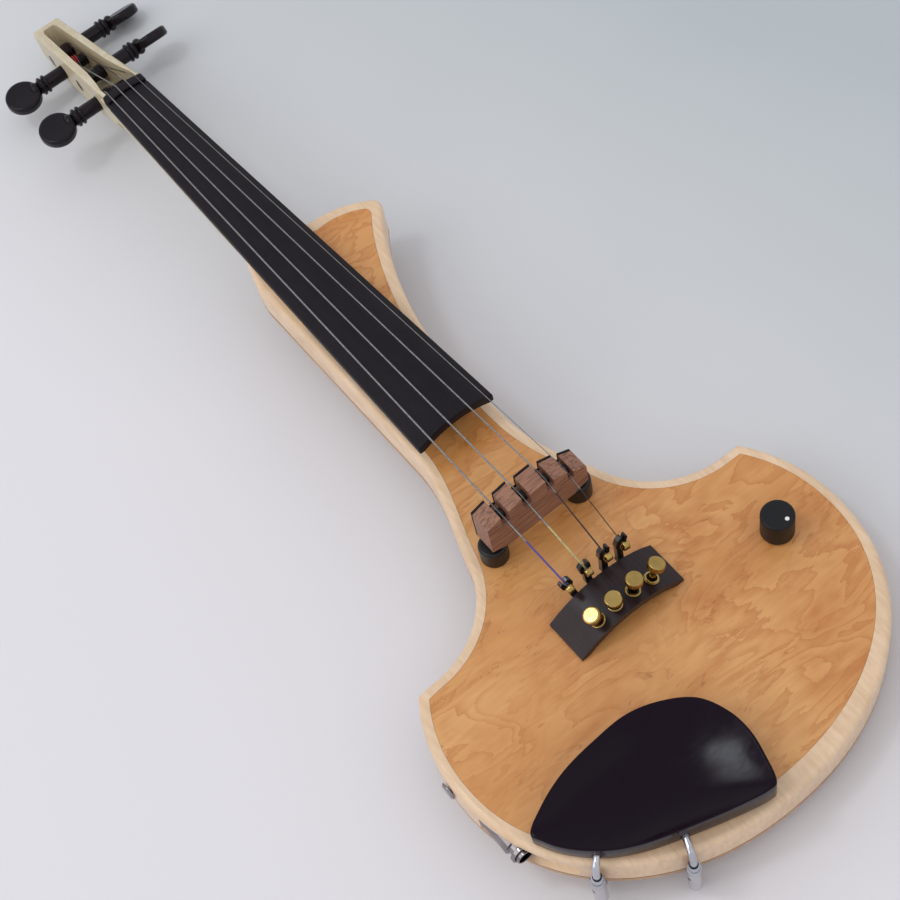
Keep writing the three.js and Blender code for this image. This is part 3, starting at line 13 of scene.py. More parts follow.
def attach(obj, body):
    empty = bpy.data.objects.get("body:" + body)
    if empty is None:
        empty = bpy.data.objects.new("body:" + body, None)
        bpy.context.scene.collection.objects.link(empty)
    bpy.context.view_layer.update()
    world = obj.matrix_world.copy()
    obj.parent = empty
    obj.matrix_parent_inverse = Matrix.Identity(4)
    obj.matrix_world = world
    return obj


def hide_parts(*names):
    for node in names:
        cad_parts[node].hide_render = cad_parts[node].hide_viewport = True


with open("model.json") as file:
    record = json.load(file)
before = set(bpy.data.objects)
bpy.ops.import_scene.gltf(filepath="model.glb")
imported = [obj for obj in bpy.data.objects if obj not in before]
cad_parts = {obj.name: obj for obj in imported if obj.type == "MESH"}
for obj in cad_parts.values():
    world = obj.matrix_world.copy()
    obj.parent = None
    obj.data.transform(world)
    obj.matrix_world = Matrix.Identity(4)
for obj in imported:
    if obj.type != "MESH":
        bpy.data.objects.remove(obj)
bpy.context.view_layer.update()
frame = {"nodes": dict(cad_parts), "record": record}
nodes = frame["nodes"]

# Camera: it looks steeply down on the top from the tail and the bass side.
# Its place, heading, lean and lens were fitted to the outline, the strings and the bridge.
CAMERA_PLACE = (-0.17954, -0.33267, 0.73132)
CAMERA_HEADING = math.radians(-24.15)
CAMERA_ELEVATION = math.radians(59.18)
CAMERA_ROLL = math.radians(-15.89)
CAMERA_LENS = 76.25
CAMERA_CLIP = (0.01, 20)
SENSOR = 36.0


def camera_axes(heading, elevation, roll):
    """Right, up and back: back points from the object to the camera, right is level, then both roll."""
    back = np.array([
        math.sin(heading) * math.cos(elevation),
        -math.cos(heading) * math.cos(elevation),
        math.sin(elevation),
    ])
    level = np.cross([0.0, 0.0, 1.0], back)
    level /= np.linalg.norm(level)
    rise = np.cross(back, level)
    right = level * math.cos(roll) + rise * math.sin(roll)
    up = rise * math.cos(roll) - level * math.sin(roll)
    return right, up, back


def in_scene(name, data):
    """An object with its data, linked into the scene."""
    made = bpy.data.objects.new(name, data)
    bpy.context.scene.collection.objects.link(made)
    return made


axes = np.stack(camera_axes(CAMERA_HEADING, CAMERA_ELEVATION, CAMERA_ROLL), -1)
camera_data = bpy.data.cameras.new("camera")
camera_data.lens = CAMERA_LENS
camera_data.sensor_width = camera_data.sensor_height = SENSOR
camera_data.sensor_fit = "HORIZONTAL"
camera_data.clip_start, camera_data.clip_end = CAMERA_CLIP
camera = in_scene("camera", camera_data)
camera.matrix_world = Matrix([*np.column_stack([axes, CAMERA_PLACE]).tolist(), [0, 0, 0, 1]])
bpy.context.scene.camera = camera
bpy.context.scene.view_settings.view_transform = "Standard"

# Table: a matt pale grey sheet with painted shade: lighter and warmer near the viewer, darker and cooler
# away, standing in for the light's falloff.
# The violin lies tilted on it, on its head end, its clamp and the treble edge of its back.
TABLE_HEIGHT = -0.01119
TABLE_SLOPE = (0.0766, -0.03975)
TABLE_HALF = 2.6
TABLE_POINTS = 5
# Near and far colours of the sheet: the darker far colour is painted shade, where less light falls.
TABLE_NEAR = (230, 227, 229)
TABLE_FAR_SHADE = (190, 196, 197)
TABLE_SHADE_FADE = (-0.05, 0.3)
TABLE_FADE_HEADING = math.radians(15)
TABLE_CLOUD = (9, 0.05)


def linear(colour):
    """A colour given in 0 to 255 display values, as linear light."""
    shares = np.array(colour, float) / 255
    low = shares / 12.92
    high = ((shares + 0.055) / 1.055) ** 2.4
    return (*np.where(shares <= 0.04045, low, high).tolist(), 1.0)


def shader_node(tree, kind, inputs=None, **settings):
    """A shader node with its settings, and its inputs given as values or as other nodes' outputs."""
    made = tree.nodes.new(kind)
    for name, value in settings.items():
        setattr(made, name, value)
    for key, value in (inputs or {}).items():
        socket = made.inputs[key]
        if isinstance(value, bpy.types.NodeSocket):
            tree.links.new(value, socket)
        else:
            socket.default_value = value
    return made


def material_of(name, colour, roughness, metallic=0.0, coat=0.0, coat_roughness=0.05, specular=0.5):
    """A material with one Principled shader: gives the material, its tree and the shader."""
    made = bpy.data.materials.new(name)
    made.use_nodes = True
    tree = made.node_tree
    shader = next(n for n in tree.nodes if n.type == "BSDF_PRINCIPLED")
    shader.inputs["Base Color"].default_value = linear(colour)
    shader.inputs["Roughness"].default_value = roughness
    shader.inputs["Metallic"].default_value = metallic
    shader.inputs["Coat Weight"].default_value = coat
    shader.inputs["Coat Roughness"].default_value = coat_roughness
    shader.inputs["Specular IOR Level"].default_value = specular
    return made, tree, shader


def places(tree, scale=(1, 1, 1), turn=(0, 0, 0), offset=(0, 0, 0)):
    """Object coordinates, moved, turned and scaled by a Mapping node."""
    source = shader_node(tree, "ShaderNodeTexCoord")
    mapped = shader_node(tree, "ShaderNodeMapping", {
        "Vector": source.outputs["Object"], "Scale": scale, "Rotation": turn, "Location": offset,
    })
    return mapped.outputs["Vector"]


def noise(tree, vector, scale, detail=3.0, roughness=0.5, distortion=0.0):
    """Fractal noise from 0 to 1."""
    made = shader_node(tree, "ShaderNodeTexNoise", {
        "Vector": vector, "Scale": scale, "Detail": detail, "Roughness": roughness, "Distortion": distortion,
    })
    return made.outputs["Fac"]


def ranged(tree, value, low, high, to_low=0.0, to_high=1.0):
    """A value carried from one range to another, held at its ends."""
    made = shader_node(tree, "ShaderNodeMapRange", {
        "Value": value, "From Min": low, "From Max": high, "To Min": to_low, "To Max": to_high,
    })
    return made.outputs["Result"]


def maths(tree, operation, first, second=0.0):
    """One operation on two values."""
    made = shader_node(tree, "ShaderNodeMath", {0: first, 1: second}, operation=operation)
    return made.outputs[0]


def mixed(tree, share, first, second, blend="MIX"):
    """Two colours mixed by a share."""
    made = shader_node(
        tree, "ShaderNodeMix", {0: share, 6: first, 7: second}, data_type="RGBA", blend_type=blend,
    )
    return made.outputs[2]


def mesh_object(name, points, faces):
    """A mesh object at the origin from an array of points and a list of faces."""
    mesh = bpy.data.meshes.new(name)
    mesh.from_pydata(np.asarray(points, float).tolist(), [], [list(map(int, face)) for face in faces])
    mesh.validate()
    return in_scene(name, mesh)


table_line = np.linspace(-TABLE_HALF, TABLE_HALF, TABLE_POINTS)
table_x, table_y = np.meshgrid(table_line, table_line)
table_z = TABLE_HEIGHT + TABLE_SLOPE[0] * table_x + TABLE_SLOPE[1] * table_y
table_corners = np.arange(TABLE_POINTS ** 2).reshape(TABLE_POINTS, -1)[:-1, :-1].ravel()
table_faces = np.stack([
    table_corners, table_corners + 1, table_corners + TABLE_POINTS + 1, table_corners + TABLE_POINTS,
], -1)
table = mesh_object("table", np.stack([table_x, table_y, table_z], -1).reshape(-1, 3), table_faces)
table_material, tree, shader = material_of("table_sheet", TABLE_NEAR, 0.85, specular=0.2)
across = places(tree, turn=(0, 0, -TABLE_FADE_HEADING))
away = shader_node(tree, "ShaderNodeSeparateXYZ", {"Vector": across}).outputs["X"]
cloud = maths(tree, "SUBTRACT", noise(tree, places(tree), TABLE_CLOUD[0], 2), 0.5)
tone = maths(tree, "ADD", away, maths(tree, "MULTIPLY", cloud, TABLE_CLOUD[1]))
# Painted shade: the sheet's colour runs from the near tone to the darker far tone along the fade.
table_shaded_colour = mixed(tree, ranged(tree, tone, *TABLE_SHADE_FADE), linear(TABLE_NEAR), linear(TABLE_FAR_SHADE))
tree.links.new(table_shaded_colour, shader.inputs["Base Color"])
table.data.materials.append(table_material)

# Light: a soft lamp high on the bass side, whose reflection lies in the chinrest's dish and on the first
# tuner knob, wide weak ones on both sides of it, and an even pale room round them.
ROOM_STRENGTH = 0.87
ROOM_COLOUR = (236, 238, 244)
LAMP_AIM = (0, 0.02, 0)
LAMPS = [
    ("key", (-0.58, 0.45, 1.5), (0.28, 0.34), 2.9, (238, 248, 255)),
    ("window", (-1.6, 0.5, 1.2), (1.4, 1.4), 7.0, (255, 250, 244)),
    ("far_side", (0.6, -0.8, 1.5), (0.9, 0.9), 0.6, (255, 251, 246)),
]
room = bpy.data.worlds.new("room")
bpy.context.scene.world = room
room.use_nodes = True
room_light = room.node_tree.nodes["Background"]
room_light.inputs["Color"].default_value = linear(ROOM_COLOUR)
room_light.inputs["Strength"].default_value = ROOM_STRENGTH
for name, place, size, power, colour in LAMPS:
    lamp_data = bpy.data.lights.new(name, "AREA")
    lamp_data.shape = "RECTANGLE"
    lamp_data.size, lamp_data.size_y = size
    lamp_data.energy = power
    lamp_data.color = linear(colour)[:3]
    lamp = in_scene(name, lamp_data)
    lamp.location = place
    lamp.rotation_euler = (Vector(LAMP_AIM) - Vector(place)).to_track_quat("-Z", "Y").to_euler()

# Core of the body: a flat slab of pale maple under clear satin lacquer, with a step for the veneer.
# Its outline is a wide lower bout, two hollow waists, a sloping bass shoulder and a pointed treble horn.
# The jack's recess and plug scoop, the button's hole and the control's cavity and hole are cut into it.
BODY_THICKNESS = 0.023
BACK_THICKNESS = 0.0053
SEAM_THICKNESS = 0.0008
TOP_ROUND = 0.0026
BOUT_HALF = 0.1
BOUT_CENTRE_Y = -0.072
BOUT_TAIL_REACH = 0.0845
BOUT_HEAD_REACH = 0.082
BOUT_EXPONENT = 2.12
WAIST_RADIUS = 0.0453
WAIST_CENTRE = (0.078, 0.0177)
WAIST_SWEEP = (math.radians(75), math.radians(72.8))
WAIST_FLARE = (0.02, 0.0093)
WAIST_HANDLE = (0.02, 0.0309)
WAIST_BASS = (-0.0199, 0.062)
WAIST_TREBLE = (0.0218, 0.0567, 0.091)
HEAD_END = (0.0118, 0.208)
SHOULDER_RUN = 0.028
SHOULDER_PULL = (0.0178, 0.014)
HORN_UNDER = (0.0503, 0.1784)
HORN_TIP = (0.0542, 0.1844)
HORN_OVER = (0.0477, 0.1879)
HORN_ROOT = (0.0194, 0.1966)
HORN_CROWN = 0.0021
HORN_HANDLE = 0.0229
HORN_HEADING = math.radians(54.3)
BORDER = 0.0046
BORDER_TAIL = 0.0084
BORDER_BASS = 0.0048
BORDER_TREBLE = 0.0054
BORDER_HEAD = 0.007
BORDER_HORN = ((0.0061, -0.0006), (0.0085, 0.0023), (0.0046, 0.0039), (-0.0006, 0.0072))
VENEER_THICKNESS = 0.0009
VENEER_GAP = 0.0001
OUTLINE_STEPS = 26
MAPLE = ((238, 207, 173), (220, 184, 144))
JACK_HEIGHT = 0.012
JACK_Y = (-0.083, -0.0993)
JACK_RADIUS = 0.0052
JACK_ROOM = 0.00035
JACK_WALL = 0.0025
JACK_BUSH = 0.0039
JACK_SIDE = 0.0016
RECESS_DEPTH = 0.0058
RECESS_OUT = 0.11
RECESS_CORNER = 0.0008
SCOOP_RADIUS = 0.00585
SCOOP_BEND = 1.6
SCOOP_ROUND = (0.2, 1.45)
SCOOP_STEPS = (17, 7)
SCOOP_SIDES = 40
SCOOP_END_Y = -0.121
SCOOP_OUTSET = 0.0028
BUTTON_Y = -0.0644
BUTTON_DEPTH = 0.01
BUTTON_HOLE = 0.0018
CONTROL = (0.064, -0.07, 0.022, 0.024, 0.008)
CONTROL_LEDGE = 0.005
CONTROL_ROOF = 0.005
VOLUME = (0.0704, -0.0694)
BUSH_HOLE = 0.004
PAST = 0.001
WELD = 1e-7
SHARP = 38
WOOD_RELIEF = (0.15, 0.00005)
WOOD_TINT = ((0.94, 0.93, 0.91, 1), (1.04, 1.04, 1.05, 1))


def curved(*points, steps=OUTLINE_STEPS):
    """A curve between end points, drawn by those between with binomial weights, without its last point."""
    share = np.linspace(0, 1, steps, endpoint=False)[:, None]
    order = len(points) - 1
    return sum(
        math.comb(order, k) * (1 - share) ** (order - k) * share ** k * np.array(point)
        for k, point in enumerate(points)
    )


def bout(side, reach, start, end, half, steps=OUTLINE_STEPS * 2):
    """A quarter of a superellipse, the lower bout's edge, without its last point."""
    angle = np.linspace(start, end, steps, endpoint=False)
    power = 2 / BOUT_EXPONENT
    x = side * half * np.abs(np.cos(angle)) ** power
    y = BOUT_CENTRE_Y + np.sign(np.sin(angle)) * reach * np.abs(np.sin(angle)) ** power
    return np.stack([x, y], -1)


def body_outline(border):
    """The outline of the body (border 0) or the veneer (border 1): quarter bouts, waist arcs and curves."""
    half = BOUT_HALF - border * BORDER
    tail = BOUT_TAIL_REACH - border * BORDER_TAIL
    head = BOUT_HEAD_REACH - border * BORDER
    radius = WAIST_RADIUS + border * BORDER
    corner = math.asin(((WAIST_CENTRE[1] - radius - BOUT_CENTRE_Y) / head) ** (BOUT_EXPONENT / 2))

    def waist(side, sweep):
        angle = np.linspace(-math.pi / 2, -math.pi / 2 - sweep, OUTLINE_STEPS)
        return np.stack([
            side * (WAIST_CENTRE[0] + radius * np.cos(angle)), WAIST_CENTRE[1] + radius * np.sin(angle),
        ], -1)

    bass, treble = waist(-1, WAIST_SWEEP[0]), waist(1, WAIST_SWEEP[1])[::-1]
    bass_flare = np.array([math.cos(WAIST_SWEEP[0]), math.sin(WAIST_SWEEP[0])]) * WAIST_FLARE[0]
    treble_flare = np.array([-math.cos(WAIST_SWEEP[1]), math.sin(WAIST_SWEEP[1])]) * WAIST_FLARE[1]
    bass_x = WAIST_BASS[0] + border * BORDER_BASS
    treble_x = WAIST_TREBLE[0] - border * BORDER_TREBLE
    end_half, end_y = HEAD_END[0] - border * BORDER_BASS, HEAD_END[1] - border * BORDER_HEAD
    under, tip, over, root = (
        np.array(point) - border * np.array(width)
        for point, width in zip((HORN_UNDER, HORN_TIP, HORN_OVER, HORN_ROOT), BORDER_HORN)
    )
    way = np.array([math.cos(HORN_HEADING), math.sin(HORN_HEADING)]) * HORN_HANDLE
    top = over - root
    crown = (root + over) / 2 + np.array([-top[1], top[0]]) / np.linalg.norm(top) * 2 * HORN_CROWN
    rise = np.array([0, 1])
    bass_start, bass_end = np.array([bass_x, WAIST_BASS[1]]), np.array([bass_x, HEAD_END[1] - SHOULDER_RUN])
    pull = (border * BORDER_BASS - SHOULDER_PULL[0], HEAD_END[1] - SHOULDER_PULL[1] - border * BORDER_BASS)
    treble_high, treble_low = np.array([treble_x, WAIST_TREBLE[2]]), np.array([treble_x, WAIST_TREBLE[1]])
    return np.concatenate([
        bout(1, head, corner, 0, half), bout(1, tail, 0, -math.pi / 2, half),
        bout(-1, tail, -math.pi / 2, 0, half), bout(-1, head, 0, corner, half), bass[:-1],
        curved(bass[-1], bass[-1] + bass_flare, bass_start - rise * WAIST_HANDLE[0], bass_start),
        curved(bass_start, (bass_start + bass_end) / 2, bass_end),
        curved(bass_end, pull, (-end_half, end_y)),
        curved((-end_half, end_y), (0, end_y), (end_half, end_y), steps=8),
        curved((end_half, end_y), (end_half, root[1] + (end_y - root[1]) / 4), root, steps=12),
        curved(root, crown, over), curved(over, tip, under, steps=16),
        curved(under, under - way, treble_high + rise * WAIST_HANDLE[1], treble_high),
        curved(treble_high, (treble_high + treble_low) / 2, treble_low),
        curved(treble_low, treble_low - rise * WAIST_HANDLE[1], treble[0] + treble_flare, treble[0]),
        treble[:-1],
    ])


def rounding(radius, steps=8, start=0.0):
    """Inset and drop pairs of a quarter round, from the side, or from an angle on, to the flat face."""
    angles = np.linspace(start, math.pi / 2, steps + 1)
    return [(radius * (1 - math.cos(a)), radius * (1 - math.sin(a))) for a in angles]


def inset(outline, distance):
    """A closed flat outline moved inwards: corners stay sharp, and edges that would turn over close up."""
    ahead = np.roll(outline, -1, axis=0) - outline
    ahead /= np.linalg.norm(ahead, axis=1)[:, None]
    behind = np.roll(ahead, 1, axis=0)
    normal = np.stack([-ahead[:, 1] - behind[:, 1], ahead[:, 0] + behind[:, 0]], -1)
    normal /= 1 + np.sum(ahead * behind, axis=1)[:, None]
    area = np.sum(outline[:, 0] * np.roll(outline[:, 1], -1) - np.roll(outline[:, 0], -1) * outline[:, 1])
    made = outline + normal * distance * (1 if area > 0 else -1)
    count = len(made)
    edges = list(range(count))
    turned = True
    while turned:
        turned = False
        for index, edge in enumerate(edges):
            before, after = edges[index - 1], edges[(index + 1) % len(edges)]
            if np.dot(made[after] - made[edge], ahead[edge]) >= 0:
                continue
            cross = ahead[before][0] * ahead[after][1] - ahead[before][1] * ahead[after][0]
            gap = made[after] - made[edge]
            reach = (gap[0] * ahead[after][1] - gap[1] * ahead[after][0]) / cross
            meeting = made[edge] + ahead[before] * reach
            stop = after if after > before else after + count
            for step in range(before + 1, stop + 1):
                made[step % count] = meeting
            edges.pop(index)
            turned = True
            break
    return made


def raised(outline, height):
    """Points of a flat outline at one height."""
    return np.column_stack([outline, np.full(len(outline), height)])


@contextlib.contextmanager
def opened(made):
    """A piece's mesh, opened for work on it and put back afterwards."""
    shape = bmesh.new()
    shape.from_mesh(made.data)
    yield shape
    shape.to_mesh(made.data)
    shape.free()


def quads(rows, count, closed=False):
    """Faces between rings of equally many points, and if closed, from the last ring to the first."""
    grid = np.arange(rows * count).reshape(rows, count)
    above = np.roll(grid, -1, axis=0)
    faces = np.stack([grid, np.roll(grid, -1, axis=1), np.roll(above, -1, axis=1), above], -1)
    return (faces if closed else faces[:-1]).reshape(-1, 4).tolist()


def lofted(name, rings):
    """A closed skin through rings of equally many points: quads between rings, triangles across each end."""
    rings = np.asarray(rings, float)
    rows, count = rings.shape[:2]
    ends = [list(range(count))[::-1], list(range((rows - 1) * count, rows * count))]
    made = mesh_object(name, rings.reshape(-1, 3), quads(rows, count) + ends)
    with opened(made) as shape:
        bmesh.ops.remove_doubles(shape, verts=shape.verts, dist=WELD)
        bmesh.ops.triangulate(shape, faces=[face for face in shape.faces if len(face.verts) > 4])
        bmesh.ops.recalc_face_normals(shape, faces=shape.faces)
    return made


def slab(name, outline, low, high, round_low=0.0):
    """A slab of an outline, its lower edge rounded where a radius is given."""
    lower = rounding(round_low)[::-1] if round_low else [(0, 0)]
    rings = [raised(inset(outline, way) if way else outline, low + drop) for way, drop in lower]
    return lofted(name, [*rings, raised(outline, high)])


record = frame["record"]
body_of = {name: body for body, names in record["behaviour"]["bodies"].items() for name in names}


def finished(made, made_of, *stands_for, angle=SHARP):
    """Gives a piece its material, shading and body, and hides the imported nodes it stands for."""
    made.data.materials.clear()
    made.data.materials.append(made_of)
    made.data.polygons.foreach_set("use_smooth", [True] * len(made.data.polygons))
    made.data.set_sharp_from_angle(angle=math.radians(angle))
    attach(made, body_of[stands_for[0]])
    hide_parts(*stands_for)
    return made


def lathed(name, profile, sides=72):
    """A profile of radius and height pairs turned about Z: off the axis it closes on itself."""
    angles = np.arange(sides) * (2 * math.pi / sides)
    rings = [
        np.column_stack([np.cos(angles) * radius, np.sin(angles) * radius, np.full(sides, height)])
        for radius, height in profile if radius > 0
    ]
    if profile[0][0] > 0:
        return mesh_object(name, np.concatenate(rings), quads(len(rings), sides, closed=True))
    return lofted(name, rings)


def moved(made, matrix):
    """Moves the mesh itself, so that the object stays at the origin, with its faces outward."""
    made.data.transform(matrix)
    with opened(made) as shape:
        bmesh.ops.recalc_face_normals(shape, faces=shape.faces)
    return made


def rod(start, end, radius, sides=48, name="rod"):
    """A plain cylinder between two points, used as a cutter or a pin."""
    start, end = Vector(start), Vector(end)
    length = (end - start).length
    made = lathed(name, [(0, 0), (radius, 0), (radius, length), (0, length)], sides)
    turn = (end - start).to_track_quat("Z", "Y").to_matrix().to_4x4()
    return moved(made, Matrix.Translation(start) @ turn)


def upright(place, low, high, radius, sides=48, name="rod"):
    """A cylinder that stands on a place, from one height to another."""
    return rod((*place, low), (*place, high), radius, sides, name)


def settled(made):
    """Makes a piece's modifiers part of its mesh."""
    bpy.context.view_layer.update()
    result = bpy.data.meshes.new_from_object(made.evaluated_get(bpy.context.evaluated_depsgraph_get()))
    made.modifiers.clear()
    made.data = result
    return made


def carved(made, *cutters, operation="DIFFERENCE"):
    """Cuts other shapes out of a piece one by one, or joins them to it, and clears them away."""
    for cutter in cutters:
        cut = made.modifiers.new("cut", "BOOLEAN")
        cut.object = cutter
        cut.operation = operation
        cut.solver = "EXACT"
        settled(made)
        bpy.data.objects.remove(cutter)
    return made


def edge_x(y):
    """Half width of the lower bout at a distance along the body, from its superellipse."""
    share = abs((y - BOUT_CENTRE_Y) / BOUT_TAIL_REACH)
    return BOUT_HALF * (1 - share ** BOUT_EXPONENT) ** (1 / BOUT_EXPONENT)


def rounded_rectangle(x, y, half_x, half_y, radius, steps=10):
    """A flat rectangle with rounded corners about a centre."""
    corners = []
    for quarter, (side_x, side_y) in enumerate(((1, 1), (-1, 1), (-1, -1), (1, -1))):
        angle = np.linspace(quarter * math.pi / 2, (quarter + 1) * math.pi / 2, steps)
        corners.append(np.stack([
            x + side_x * (half_x - radius) + radius * np.cos(angle),
            y + side_y * (half_y - radius) + radius * np.sin(angle),
        ], -1))
    return np.concatenate(corners)


def control_cavity():
    """A fresh cutter for the control cavity: it goes from the back through two layers into the core."""
    x, y, half_x, half_y, corner = CONTROL
    inside = rounded_rectangle(
        x, y, half_x - CONTROL_LEDGE, half_y - CONTROL_LEDGE, corner - CONTROL_LEDGE / 2,
    )
    return slab("cavity", inside, -PAST, BODY_THICKNESS - CONTROL_ROOF)


def bumped(tree, shader, height, strength, distance):
    """A height joined to the shader's normal through a bump."""
    made = shader_node(tree, "ShaderNodeBump", {"Height": height, "Strength": strength, "Distance": distance})
    tree.links.new(made.outputs["Normal"], shader.inputs["Normal"])


def group_of(name, make, **more):
    """A node group for a surface: two colours, a gloss and more inputs; make gives what comes out of it."""
    group = bpy.data.node_groups.new(name, "ShaderNodeTree")
    for label, kind in {"Main": "Color", "Second": "Color", "Gloss": "Float", **more}.items():
        group.interface.new_socket(label, in_out="INPUT", socket_type="NodeSocket" + kind)
    made = make(group, group.nodes.new("NodeGroupInput").outputs)
    for label in made:
        kind = "Color" if label == "Base Color" else "Float"
        group.interface.new_socket(label, in_out="OUTPUT", socket_type="NodeSocket" + kind)
    ends = group.nodes.new("NodeGroupOutput").inputs
    for label, value in made.items():
        group.links.new(value, ends[label])
    return group


def surface_of(name, group, colours, gloss, relief, values, **settings):
    """A material whose colour, gloss and relief come from a surface's node group with its own values."""
    made, tree, shader = material_of(name, colours[0], gloss, **settings)
    values = {"Main": linear(colours[0]), "Second": linear(colours[1]), "Gloss": gloss, **values}
    placed = shader_node(tree, "ShaderNodeGroup", values, node_tree=group)
    for output in placed.outputs:
        if output.name == "Height":
            bumped(tree, shader, output, *relief)
        else:
            tree.links.new(output, shader.inputs[output.name])
    return made


def grain(tree, given):
    """Wood: noise drawn out along the fibres mixes two colours, clouds tint them, fibres break the gloss."""
    fibres = noise(tree, places(tree, given["Stretch"]), given["Scale"], 6, 0.65, 0.4)
    colour = mixed(tree, ranged(tree, fibres, 0.35, 0.75), given["Main"], given["Second"])
    cloud = ranged(tree, noise(tree, places(tree), 35, 2), 0.3, 0.7)
    tint = mixed(tree, cloud, *WOOD_TINT)
    return {
        "Base Color": mixed(tree, 1.0, colour, tint, "MULTIPLY"),
        "Roughness": maths(tree, "ADD", ranged(tree, fibres, 0.3, 0.7, -0.05, 0.08), given["Gloss"]),
        "Height": fibres,
    }


wood_grain = group_of("wood_grain", grain, Stretch="Vector", Scale="Float")


def wood_of(name, colours, stretch, scale, gloss, coat):
    """A lacquered wood with its own colours and grain."""
    return surface_of(
        name, wood_grain, colours, gloss, WOOD_RELIEF, {"Stretch": stretch, "Scale": scale},
        coat=coat, coat_roughness=0.12, specular=0.4,
    )


maple = wood_of("maple", MAPLE, (3.5, 0.6, 1), 130, gloss=0.36, coat=0.25)
outer = body_outline(0)
veneer_edge = body_outline(1)
core_low = BACK_THICKNESS + SEAM_THICKNESS
jack_x = JACK_SIDE - edge_x(JACK_Y[1])
recess_in = jack_x + RECESS_DEPTH
recess = slab("recess", rounded_rectangle(
    (recess_in - RECESS_OUT) / 2, (JACK_Y[0] + JACK_Y[1]) / 2,
    (recess_in + RECESS_OUT) / 2, (JACK_Y[0] - JACK_Y[1]) / 2, RECESS_CORNER, 4,
), JACK_HEIGHT - JACK_RADIUS - JACK_ROOM, JACK_HEIGHT + JACK_RADIUS + JACK_ROOM)
scoop_start = np.array([jack_x, JACK_Y[1] - JACK_WALL])
scoop_run = np.array([-edge_x(SCOOP_END_Y) - SCOOP_OUTSET, SCOOP_END_Y]) - scoop_start
scoop_angle = np.linspace(0, 2 * math.pi, SCOOP_SIDES, endpoint=False)
scoop_rings = []
for share, reach, wide in (
    [(share, 0.0, 1.0) for share in np.linspace(0, 1, SCOOP_STEPS[0])]
    + [(1.0, math.sin(turn), math.cos(turn)) for turn in np.linspace(*SCOOP_ROUND, SCOOP_STEPS[1])]
):
    x = scoop_start[0] + scoop_run[0] * share ** SCOOP_BEND
    y = scoop_start[1] + scoop_run[1] * share - SCOOP_RADIUS * reach
    scoop_rings.append(np.stack([
        x + SCOOP_RADIUS * wide * np.cos(scoop_angle), np.full(SCOOP_SIDES, y),
        JACK_HEIGHT + SCOOP_RADIUS * wide * np.sin(scoop_angle),
    ], -1))
scoop = lofted("scoop", scoop_rings)
step_edge = inset(veneer_edge, -VENEER_GAP)
core = lofted("body_core_finish", [
    raised(outer, core_low),
    *[raised(inset(outer, way), BODY_THICKNESS - drop) for way, drop in rounding(TOP_ROUND)],
    raised(step_edge, BODY_THICKNESS), raised(step_edge, BODY_THICKNESS - VENEER_THICKNESS),
])
jack_hole = rod(
    (jack_x, JACK_Y[1] + PAST, JACK_HEIGHT), (jack_x, JACK_Y[1] - JACK_WALL - PAST, JACK_HEIGHT),
    JACK_BUSH + JACK_ROOM,
)
button_hole = rod(
    (-BOUT_HALF - PAST, BUTTON_Y, JACK_HEIGHT), (-BOUT_HALF + BUTTON_DEPTH, BUTTON_Y, JACK_HEIGHT),
    BUTTON_HOLE, 24,
)
bush_hole = upright(VOLUME, 0, BODY_THICKNESS + PAST, BUSH_HOLE)
carved(core, recess, scoop, control_cavity(), jack_hole, button_hole, bush_hole)
finished(core, maple, "body_core")

# Seam and back: a thin brown layer and a tan back layer, both of wood and glued under the core.
# The back's lower edge is rounded, and it has a pocket and two screw holes for the cavity's cover.
SEAM_BROWN = ((122, 78, 44), (96, 58, 32))
BACK_TAN = ((204, 160, 112), (176, 126, 80))
BACK_ROUND = 0.0034
COVER_THICKNESS = 0.0024
COVER_SCREW_INSET = 0.0032
COVER_SCREW_HOLE = (0.0015, 0.0049)
seam_wood = wood_of("seam_wood", SEAM_BROWN, (4, 0.3, 4), 160, gloss=0.45, coat=0.1)
back_wood = wood_of("back_wood", BACK_TAN, (4, 0.3, 4), 120, gloss=0.36, coat=0.25)
seam = slab("accent_layer_finish", outer, BACK_THICKNESS, core_low)
finished(carved(seam, control_cavity()), seam_wood, "accent_layer")

back = slab("back_plate_finish", outer, 0.0, BACK_THICKNESS, round_low=BACK_ROUND)
pocket = slab("pocket", rounded_rectangle(*CONTROL), -PAST, COVER_THICKNESS)
screw_places = [
    (CONTROL[0] + side * (CONTROL[2] - COVER_SCREW_INSET),
     CONTROL[1] + side * (CONTROL[3] - CONTROL[4] - COVER_SCREW_INSET)) for side in (-1, 1)
]
screw_holes = [
    upright(place, -2 * PAST, COVER_SCREW_HOLE[1], COVER_SCREW_HOLE[0], 24) for place in screw_places
]
carved(back, *screw_holes, control_cavity(), pocket)
finished(back, back_wood, "back_plate")

# Top: a figured orange-tan veneer let into the core, with feathered swirls and a few fine dark lines.
# Its figure runs a little off the body's length, under the same clear lacquer.
VENEER = (209, 142, 77)
VENEER_LIGHT = (226, 168, 104)
VENEER_DARK = (187, 112, 50)
FIGURE_BROWN = (150, 84, 34)
GRAIN_TURN = (0, 0, math.radians(-14))
WARP = (34, 8.5)
JAG = (260, 1.1)
PATCH = (17, 0.34, 0.66)
FEATHER = (2.4, 0.64)
FEATHER_SPOT = (21, 0.34, 0.58, 0.12)
BLOTCH = (31, 0.5, 0.72, 0.55)
RIDGE = (30, 0.012, 0.5)
RIDGE_SPOT = (0.46, 0.58)
FIBRE = (620, 0.22)
VENEER_GLOSS = (0.27, 0.4)
VENEER_RELIEF = (0.12, 0.00004)
veneer, tree, shader = material_of("veneer", VENEER, 0.33, coat=0.3, coat_roughness=0.1, specular=0.4)
stretched = places(tree, (0.42, 1.0, 1.0), GRAIN_TURN)
warp = noise(tree, stretched, WARP[0], 3, 0.5, 1.0)
jag = noise(tree, places(tree, (0.22, 1.0, 1.0), GRAIN_TURN), JAG[0], 4, 0.7)
